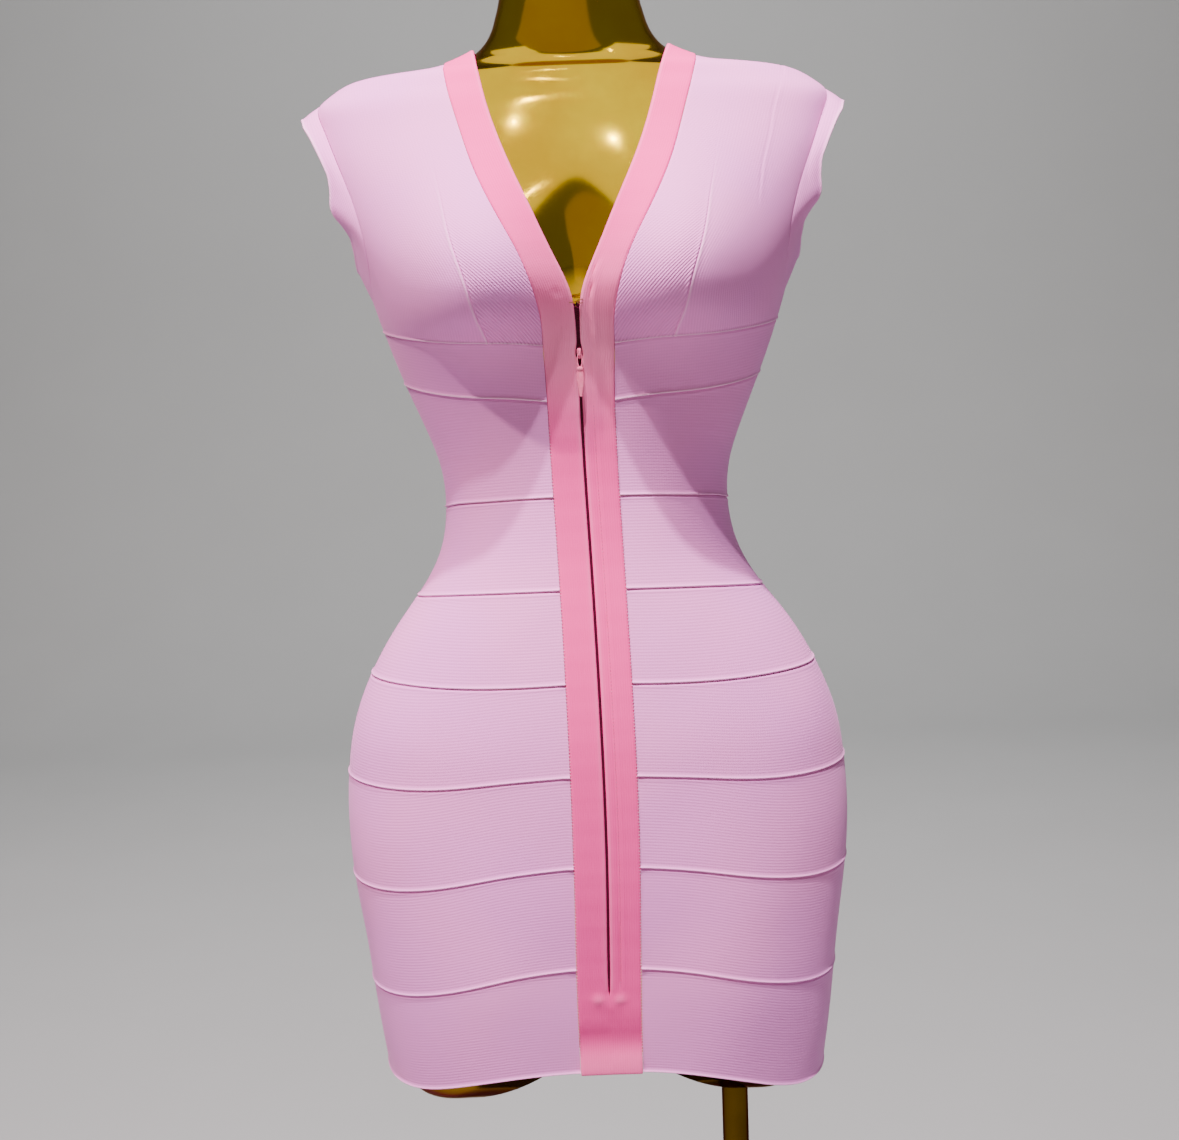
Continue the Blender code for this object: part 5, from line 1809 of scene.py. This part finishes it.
@dataclass
class Zip(Maker):
    """The zip: tapes, coil teeth, slider with its crown, and the drop-shaped pull."""

    trim: FrontTrim
    top: float = 1.2720
    foot: float = 0.7745
    tape_lift: float = -1.9 * MM
    tape_wall: float = 0.7 * MM
    tape_outer: float = 11.0 * MM
    tape_start: float = 0.3 * MM
    tape_grid: tuple[int, int] = (230, 9)
    parting: float = 0.010
    tooth_pitch: float = 1.5 * MM
    tooth_ends: Pair = (-0.9 * MM, 1.9 * MM)
    tooth_radius: float = 0.55 * MM
    tooth_arch: float = 0.25 * MM
    face: float = 1.2 * MM
    crown_radius: float = 3.1 * MM
    crown_wire: float = 0.65 * MM
    crown_more: float = 0.1  # the crown runs this much past a half turn at each end
    wire_sides: int = 12
    # The slider's face, its two shoulders, post and keeper plate, and the pull's bead and neck:
    # size across, out and up in mm, place in mm, squareness
    slider_blocks: tuple[Block, ...] = (
        ((3.2, 2.4, 7.2), (0, 0, 0), 4.0),
        ((1.5, 2.0, 5.2), (-0.9, 0.3, 0), 2.6),
        ((1.5, 2.0, 5.2), (0.9, 0.3, 0), 2.6),
        ((0.7, 4.0, 3.4), (0, -1.5, 0), 2.6),
        ((7.2, 0.7, 7.0), (0, -3.25, 0), 4.0),
    )
    pull_blocks: tuple[Block, ...] = (
        ((4.6, 2.6, 3.0), (0, 0, -10.2), 2.3),
        ((1.8, 1.2, 2.4), (0, 0, -11.3), 2.6),
    )
    pull_thickness: float = 1.5 * MM
    pull_pivot: float = 1.25 * MM
    pull_wire: float = 0.5 * MM
    pull_eye: Place = (1.75, 4.85, -4.6)  # half width, half height, middle
    leaf_grid: tuple[int, int] = (36, 28)
    leaf_square: float = 0.7
    leaf_thin: float = 0.2  # how much thinner the leaf is at its ends
    leaf: Table = (  # mm below the pivot, half width in mm
        (11.4, 1.2), (12.4, 1.9), (14.0, 2.45), (16.0, 2.65), (18.5, 2.60), (21.0, 2.30),
        (23.5, 1.90), (26.0, 1.50), (28.4, 1.10), (29.6, 0.90),
    )
    hook_height: float = 1.2747
    hook_wire: float = 0.28 * MM
    # The eye's and the hook's paths: across, out and up in mm
    eye_path: Table = (
        (6.0, 2.1, 1.3), (3.0, 2.1, 1.35), (1.2, 2.1, 1.25), (0.2, 2.1, 0.8), (-0.2, 2.1, 0.0),
        (0.2, 2.1, -0.8), (1.2, 2.1, -1.25), (3.0, 2.1, -1.35), (6.0, 2.1, -1.3),
    )
    hook_path: Table = (
        (-6.0, 2.1, 0.0), (-2.8, 2.1, 0.0), (-1.4, 1.3, 0.0), (0.4, 1.0, 0.0), (1.4, 1.4, 0.0),
        (1.6, 2.1, 0.0), (1.2, 2.9, 0.0), (0.2, 3.2, 0.0), (-0.9, 3.0, 0.0),
    )

    def parted(self, height: Array) -> Array:
        """Half the distance between the tapes: nothing below the slider, more above it."""
        return self.parting * np.clip(height - self.seams.slider_height + 6 * MM, 0, None)

    def stand_on(self, height: float, lift: float = 0.0) -> tuple[Array, Array]:
        """A place on the zip's line.

        Args:
            height: its height.
            lift: how far off the skin.

        Returns:
            The point, and a matrix whose rows are the directions across, out and up.
        """
        skin = self.skin
        at = skin.station(np.array([height]))
        angle = skin.angle_at(self.seams.zip_centre(np.array([height])), at)
        out = skin.normal(angle, at)[0]
        across = unit(np.array([1.0, 0, 0]) - out * out[0])
        return skin.lifted(angle, at, lift)[0], np.stack([across, out, np.cross(across, -out)])

    def placed(self, grid: Array, height: float) -> Array:
        """A grid given as across, out and up from a place on the zip's line."""
        point, directions = self.stand_on(height)
        return point + grid @ directions

    def tape(self, node: str, side: int) -> Panel:
        """One tape behind the trim.

        Args:
            node: the CAD node.
            side: 1 for the left, -1 for the right.

        Returns:
            The panel.
        """
        rows, columns = self.tape_grid
        height = np.linspace(ZIP_TRIM[-1][0], self.top, rows)[:, None]
        x = self.tape_start + self.parted(height)
        x = x + (self.tape_outer - x) * np.linspace(0, 1, columns)
        skin = self.skin
        at = skin.station(np.broadcast_to(height, x.shape))
        angle = skin.angle_at(side * x + self.seams.zip_centre(height), at)
        points = skin.point(angle, at)
        over, along = lengths(points)
        lifts = (self.tape_lift, self.tape_lift - self.tape_wall)
        panel = self.tailor.on_skin(node, angle, at, lifts, (along, over), 0.0, 0.0)
        panel.stretch = 1.0
        return panel

    def teeth(self) -> None:
        """The coil: a short rounded bar for each tooth, left and right in turn."""
        for shift, (word, side) in zip((0.0, 0.5), SIDES):
            height = np.arange(self.foot, self.top - 2 * MM, self.tooth_pitch)
            height = height + shift * self.tooth_pitch
            (start, out), (end, _) = (
                self.trim.edge_points(self.parted(height) + x, height, side, self.tape_lift + 0.5 * MM)
                for x in self.tooth_ends)
            thing = stitch_row(f"zip_coil_{word}", start, end, out, self.tooth_radius,
                               self.tooth_arch, self.wardrobe.tape)

    def slider(self) -> None:
        """The slider: face plate with raised shoulders, crown, keeper plate and the post between."""
        turn = np.linspace(-self.crown_more, math.pi + self.crown_more, 21)
        crown = np.stack([0 * turn, self.face + self.crown_radius * np.sin(turn),
                          self.crown_radius * np.cos(turn)], -1)
        parts = [*(pebble(*block) for block in self.slider_blocks),
                 tube(crown, self.crown_wire, self.wire_sides, (1, 0, 0))]
        grids = [self.placed(part, self.seams.slider_height) for part in parts]
        attach(solid_of("slider_body", grids, self.wardrobe.lacquer), Slot.METAL, "zip_slider")

    def pull(self) -> None:
        """The pull: an eye round the crown, a bead, and a flat drop that hangs straight down."""
        pivot, _ = self.stand_on(self.seams.slider_height, self.face + self.pull_pivot)
        wide, tall, middle = np.array(self.pull_eye) * MM
        turn = np.linspace(0, 2 * math.pi, 29)
        eye = np.stack([wide * np.sin(turn), 0 * turn, middle + tall * np.cos(turn)], -1)
        first = unit(np.cross(unit(np.roll(eye, -1, 0) - np.roll(eye, 1, 0)), (0, 1, 0)))
        ring = round_turn(self.wire_sides)[None, :, None]
        loop = eye[:, None] + self.pull_wire * (
            first[:, None] * np.cos(ring) + np.array([0, 1, 0]) * np.sin(ring))
        loop[-1] = loop[0]
        drop, half = np.array(self.leaf).T * MM
        rows, columns = self.leaf_grid
        fine = np.linspace(drop[0], drop[-1], rows)[:, None]
        around = round_turn(columns)[None]
        flat = np.sign(np.sin(around)) * np.abs(np.sin(around)) ** self.leaf_square
        share = (fine - drop[0]) / (drop[-1] - drop[0])
        swell = 1 - self.leaf_thin + self.leaf_thin * np.sin(math.pi * share)
        leaf = np.stack([Spline(drop, half)(fine)[..., 0] * np.cos(around),
                         0.5 * self.pull_thickness * swell * flat,
                         -fine * np.ones_like(around)], -1)
        leaf = capped(leaf, leaf[0].mean(0), leaf[-1].mean(0))
        parts = [loop, leaf, *(pebble(*block) for block in self.pull_blocks)]
        grids = [pivot + part * np.array([1, -1, 1]) for part in parts]
        thing = solid_of("pull_drop", grids, self.wardrobe.lacquer)
        attach(thing, Slot.METAL, "zip_pull", body=PULL_BODY)

    def hook_and_eye(self) -> None:
        """The wire hook and its eye above the zip."""
        for node, path, across in (("eye", self.eye_path, (0, 1, 0)),
                                   ("hook", self.hook_path, (0, 0, 1))):
            knots = np.array(path) * MM
            length = running_length(knots)
            fine = Spline(length, knots)(np.linspace(0, length[-1], 50))
            wire = self.placed(tube(fine, self.hook_wire, 10, across), self.hook_height)
            attach(solid_of(node + "_wire", [wire], self.wardrobe.wire), Slot.METAL, node)

    def build(self) -> None:
        """Builds every piece."""
        for word, side in SIDES:
            self.tailor.sew(self.tape(f"zip_tape_{word}", side), Slot.TAPE, self.wardrobe.tape)
        self.teeth()
        self.slider()
        self.pull()
        self.hook_and_eye()


# ------ dress form and stand
@dataclass
class DressForm(Maker):
    """The limbless gold form: neck, body and two thigh stubs in one smooth closed skin."""

    columns: int = 144
    body_rows: int = 170
    stub_rows: int = 26
    inset: Pair = (4.7 * MM, 2.6 * MM)
    arm_plate: float = 0.1680
    plate_round: float = 3.0 * MM
    sternum_round: float = 9.0 * MM
    low: float = 0.7750
    shoulder: float = 0.0880
    stub_foot: float = 0.6660
    stub_top_centre: Pair = (0.0875, 0.0030)
    stub_foot_centre: Pair = (0.1260, -0.0290)
    stub_power: float = 1.75
    crotch_points: int = 15
    neck: Table = (
        (1.4820, 0.0558, 0.0435, 0.0530),
        (1.4960, 0.0520, 0.0435, 0.0525),
        (1.5200, 0.0508, 0.0435, 0.0525),
        (1.5450, 0.0505, 0.0435, 0.0525),
    )
    neck_top: float = 1.5570
    neck_round: float = 9.0 * MM
    neck_draw: float = 0.18  # how far the rim draws in as it rounds over
    hug: Place = (0.80, 0.80, 0.22)
    inset_change: Step = Step(1.275, 0.030)
    sternum_change: Step = Step(1.290, 0.035)
    blend_rows: int = 18
    neck_rows: int = 16
    rim_rows: int = 9

    def neck_ring(self, row: Array, angle: Array) -> Array:
        """Level elliptic rings: radius 1 / |(sin a / w, cos a / d)|.

        Args:
            row: height, half width, front depth and back depth.
            angle: angles round the ring.

        Returns:
            The points.
        """
        height, half, front, back = (row[..., k, None] for k in range(4))
        depth = np.where(np.cos(angle) >= 0, front, back)
        radius = 1 / np.hypot(np.sin(angle) / half, np.cos(angle) / depth)
        return np.stack([radius * np.sin(angle), -radius * np.cos(angle),
                         height + 0 * radius], -1)

    def sternum(self, points: Array) -> Array:
        """How far the hollow between the breasts fills out: |x| gives way to (x^2 + s^2)^(1/2).

        Args:
            points: points of the form.

        Returns:
            The distance forward at each.
        """
        cup = self.skin.cup
        round_x = np.hypot(points[..., 0], self.sternum_round)
        more = cup.lift(round_x, points[..., 2]) - cup.lift(points[..., 0], points[..., 2])
        return np.where(points[..., 1] < 0, np.clip(more, 0, None), 0)

    def body(self) -> Array:
        """Rings from the thighs up to the neck's closed top, flattened at the arm plates."""
        skin = self.skin
        angle = round_turn(self.columns)
        ends = skin.station(self.low), skin.shoulder_station(self.shoulder)
        at = np.linspace(*ends, self.body_rows)[:, None]
        height = skin.section(at)[..., 0]
        chest = self.inset_change.share(height)
        inset = self.inset[0] + (self.inset[1] - self.inset[0]) * chest
        rings = skin.lifted(angle[None], at, -inset)
        rings[..., 1] -= self.sternum(rings) * self.sternum_change.share(rings[..., 2])
        over = (np.abs(rings[..., 0]) - self.arm_plate) / self.plate_round
        soft = self.arm_plate - self.plate_round * np.logaddexp(0, -over)
        rings[..., 0] = np.sign(rings[..., 0]) * np.where(over > -8, soft, np.abs(rings[..., 0]))
        last = rings[-1]
        table = np.array(self.neck)
        first = self.neck_ring(table[:1], angle)[0]
        pull = last + (first - last) * np.array(self.hug)
        t = np.linspace(0, 1, self.blend_rows)[1:-1, None, None]
        blend = (1 - t) ** 2 * last + 2 * t * (1 - t) * pull + t**2 * first
        level = np.linspace(table[0, 0], self.neck_top - self.neck_round, self.neck_rows)
        column = self.neck_ring(Spline(table[:, 0], table)(level), angle)
        turn = np.linspace(0, math.pi / 2, self.rim_rows)[1:, None, None]
        rim = column[-1]
        middle = np.array([0, rim[:, 1].mean(), 0])
        shrink = 1 - self.neck_draw * (1 - np.cos(turn))
        dome = (rim - middle) * np.concatenate(
            [shrink, shrink, np.zeros_like(shrink)], -1) + middle
        dome[..., 2] = rim[:, 2] + self.neck_round * np.sin(turn[..., 0])
        share = np.linspace(0, 1, self.rim_rows)[1:, None, None]
        flat = dome[-1] + (np.array([0, middle[1], self.neck_top]) - dome[-1]) * share
        return np.concatenate([rings, blend, column, dome, flat])

    def stub(self, loop: Array, side: int) -> Array:
        """A thigh stub: its top outline shrinks to a point as (1 - depth^n)^(1/n).

        Args:
            loop: its top outline.
            side: 1 for the left, -1 for the right.

        Returns:
            Rings of points, its foot last.
        """
        top = np.array(self.stub_top_centre) * (side, 1)
        foot = np.array(self.stub_foot_centre) * (side, 1)
        sink = np.sin(np.linspace(0, math.pi / 2, self.stub_rows))[:, None]
        centre = top + (foot - top) * sink[..., None] ** 2
        scale = np.clip(1 - sink**self.stub_power, 0, 1) ** (1 / self.stub_power)
        level = centre + (loop[:, :2] - top) * scale[..., None]
        height = loop[:, 2] + (self.stub_foot - loop[:, 2]) * sink
        return np.concatenate([level, height[..., None]], -1)

    def build(self) -> None:
        """Builds the form."""
        rings = self.body()
        half = self.columns // 2
        share = np.linspace(0, 1, self.crotch_points + 2)[1:-1, None]
        crotch = rings[0][0] + (rings[0][half] - rings[0][0]) * share
        left = np.concatenate([rings[0][: half + 1], crotch[::-1]])
        right = np.concatenate([rings[0][half:], rings[0][:1], crotch])
        grids = [rings, self.stub(left, 1), self.stub(right, -1)]
        attach(solid_of("gold_form", grids, self.wardrobe.gold), Slot.FORM, "dress_form")


def turned(name: str, node: str, profile: Array, at: Pair, material: Material) -> None:
    """A turned piece: a profile of radius and height carried round an upright axis.

    Args:
        name: the piece's name.
        node: the CAD node that it stands for.
        profile: rows of radius and height, which start and end on the axis or close on themselves.
        at: the axis, x and y.
        material: its finish.
    """
    turn = round_turn(96)[None]
    radius, height = profile[:, :1], profile[:, 1:]
    grid = np.stack([at[0] + radius * np.cos(turn), at[1] + radius * np.sin(turn),
                     height + 0 * turn], -1)
    thing = solid_of(name, [grid], material)
    thing.data.set_sharp_from_angle(angle=math.radians(35))
    attach(thing, Slot.STAND, node)


def rounded_profile(radius: float, low: float, high: float, edge: float) -> Array:
    """Radius and height of a disc or rod whose two rims are rounded by quarter circles.

    Args:
        radius: the disc's radius.
        low: height of its foot.
        high: height of its top.
        edge: radius of the rims.

    Returns:
        Rows of radius and height, from the axis back to the axis.
    """
    turn = np.linspace(0, math.pi / 2, 7)
    foot = np.stack([radius - edge + edge * np.sin(turn), low + edge - edge * np.cos(turn)], -1)
    head = np.stack([radius - edge + edge * np.cos(turn), high - edge + edge * np.sin(turn)], -1)
    return np.concatenate([[[0, low]], foot, head, [[0, high]]])


@dataclass
class Stand:
    """The gold-plated pole, its collar and the round base plate."""

    wardrobe: Wardrobe
    pole_at: Pair = (0.1020, 0.0100)
    pole_radius: float = 10.5 * MM
    pole_ends: Pair = (6.3 * MM, 0.7150)
    base_radius: float = 0.1800
    base_thickness: float = 6.0 * MM
    base_rim: float = 1.6 * MM
    pole_rim: float = 0.4 * MM
    collar_radius: float = 0.0230
    collar_height: float = 0.0150
    collar_rim: float = 4.0 * MM
    collar_gap: float = 0.3 * MM

    def collar(self) -> Array:
        """The collar's profile: a ring with its upper rim rounded."""
        low, high = self.pole_ends[0], self.pole_ends[0] + self.collar_height
        bore, outer, rim = self.pole_radius + self.collar_gap, self.collar_radius, self.collar_rim
        turn = np.linspace(0, math.pi / 2, 9)
        head = np.stack([outer - rim * (1 - np.cos(turn)), high - rim + rim * np.sin(turn)], -1)
        return np.concatenate([[[bore, low], [outer, low]], head, [[bore, high], [bore, low]]])

    def build(self) -> None:
        """Builds the three pieces."""
        base = rounded_profile(self.base_radius, 0, self.base_thickness, self.base_rim)
        pole = rounded_profile(self.pole_radius, *self.pole_ends, self.pole_rim)
        for name, node, profile, at in (
            ("base_disc", "base_plate", base, (0, 0)),
            ("pole_tube", "pole", pole, self.pole_at),
            ("collar_ring", "pole_collar", self.collar(), self.pole_at),
        ):
            turned(name, node, profile, at, self.wardrobe.gold_steel)


# ------ studio
@dataclass(frozen=True)
class SoftLight:
    """A square area light that looks at a point, brighter towards its middle if it is layered.

    A light that is not mirrored lights surfaces but makes no glint on them.
    """

    name: str
    place: Place
    size: float
    power: float
    colour: str
    target: Place = (0, 0, 1.1)
    layers: int = 1
    core: float = 0.35
    mirrored: bool = True

    def build(self) -> None:
        """Adds the light: equally bright squares, each smaller than the last, in one place."""
        look = np.array(self.target) - np.array(self.place)
        forward = unit(look)
        right = unit(np.cross(forward, np.array([0, 0, 1.0])))
        turn = Matrix(np.stack([right, np.cross(right, forward), -forward], -1).tolist()).to_4x4()
        turn.translation = self.place
        sizes = self.size * np.linspace(1, self.core, self.layers)
        for k, size in enumerate(sizes):
            data = bpy.data.lights.new(f"{self.name}_{k}", "AREA")
            data.size = size
            data.energy = self.power * size**2 / (sizes**2).sum()
            data.color = linear(self.colour)[:3]
            lamp = bpy.data.objects.new(data.name, data)
            lamp.matrix_world = turn
            lamp.visible_camera = False
            lamp.visible_glossy = self.mirrored
            link(lamp)


@dataclass
class Studio:
    """Camera, soft lights, pale floor and the sweep behind."""

    wardrobe: Wardrobe
    camera_place: Place = (0.0, -1.336, 1.251)
    pitch: float = math.radians(7.65)
    roll: float = math.radians(-2.1)
    focal_pixels: float = 1750.0
    width_pixels: float = 1179.0
    sweep_round: float = 1.5
    sweep_back: float = 4.0
    sweep_reach: float = 7.0
    world: str = "#a2a69e"
    world_strength: float = 0.31
    lights: tuple[SoftLight, ...] = (
        SoftLight("key_spot", (-0.05, -0.96, 3.78), 0.07, 170, "#fff0f6", mirrored=False),
        SoftLight("second_spot", (-0.23, -1.29, 3.62), 0.06, 95, "#ffeef4", mirrored=False),
        SoftLight("left_spot", (-1.23, -1.03, 3.44), 0.07, 104, "#ffe0e0", mirrored=False),
        SoftLight("middle_glint", (-0.14, -1.12, 3.70), 0.04, 0.7, "#fff4ea"),
        SoftLight("left_glint", (-1.23, -1.03, 3.44), 0.04, 0.6, "#fff4ea"),
        SoftLight("right_glint", (0.75, -1.25, 3.50), 0.04, 0.6, "#fff4ea"),
        SoftLight("ceiling_panel", (0, -0.1, 3.4), 2.7, 66, "#f6f4f4", (0, 0.3, 1.0), 6, 0.25),
        SoftLight("front_panel", (-0.85, -2.3, 1.5), 4.4, 32, "#ffd6ac", (0, 0, 1.3), 6, 0.25),
        SoftLight("backdrop_wash", (0, 2.6, 3.4), 3.0, 72, "#fbf6f8", (0, 5.5, 1.6)),
    )

    def camera(self) -> None:
        """Adds the camera: pitched down, rolled, with its focal length from the view's width."""
        data = bpy.data.cameras.new("camera")
        data.sensor_width = 36.0
        data.lens = self.focal_pixels / self.width_pixels * data.sensor_width
        forward = np.array([0, math.cos(self.pitch), -math.sin(self.pitch)])
        level = np.array([1.0, 0, 0])
        upright = np.cross(level, forward)
        cosine, sine = math.cos(self.roll), math.sin(self.roll)
        right, up = cosine * level + sine * upright, cosine * upright - sine * level
        place = Matrix(np.stack([right, up, -forward], -1).tolist()).to_4x4()
        place.translation = self.camera_place
        camera = bpy.data.objects.new("camera", data)
        camera.matrix_world = place
        bpy.context.scene.camera = link(camera)

    def sweep(self) -> None:
        """Floor and backdrop: a level run, a quarter circle and a wall, 14 m wide."""
        turn = np.linspace(-math.pi / 2, 0, 14)
        bend = self.sweep_round * np.stack([np.cos(turn), 1 + np.sin(turn)], -1)
        bend[:, 0] += self.sweep_back
        reach = self.sweep_reach
        line = np.concatenate([[[-reach, 0.0]], bend, [[bend[-1, 0], reach]]])
        x = np.linspace(-reach, reach, 3)
        grid = np.stack([np.broadcast_to(x, (len(line), 3)),
                         np.repeat(line[:, :1], 3, 1), np.repeat(line[:, 1:], 3, 1)], -1)
        grid[..., 2] -= 0.2 * MM
        floor = make_object("floor", grid, [grid_quads(len(line), 3)], self.wardrobe.floor)

    def air(self) -> None:
        """Even grey light from all round."""
        world = bpy.data.worlds.new("studio")
        world.use_nodes = True
        sky = world.node_tree.nodes["Background"]
        sky.inputs["Color"].default_value = linear(self.world)
        sky.inputs["Strength"].default_value = self.world_strength
        bpy.context.scene.world = world

    def build(self) -> None:
        """Builds the studio."""
        self.camera()
        self.sweep()
        self.air()
        for light in self.lights:
            light.build()


def main() -> None:
    """Builds the studio and every sub-assembly in order."""
    logging.basicConfig(level=logging.INFO, format="%(message)s")
    wardrobe = Wardrobe()
    Studio(wardrobe).build()
    tools = Tailor(Skin()), Seams(), wardrobe
    DressForm(*tools).build()
    Stand(wardrobe).build()
    Bands(*tools).build()
    bodice = Bodice(*tools)
    bodice.build()
    CapSleeves(*tools, bodice).build()
    trim = FrontTrim(*tools, bodice)
    trim.build()
    Zip(*tools, trim).build()


if __name__ == "__main__":
    main()
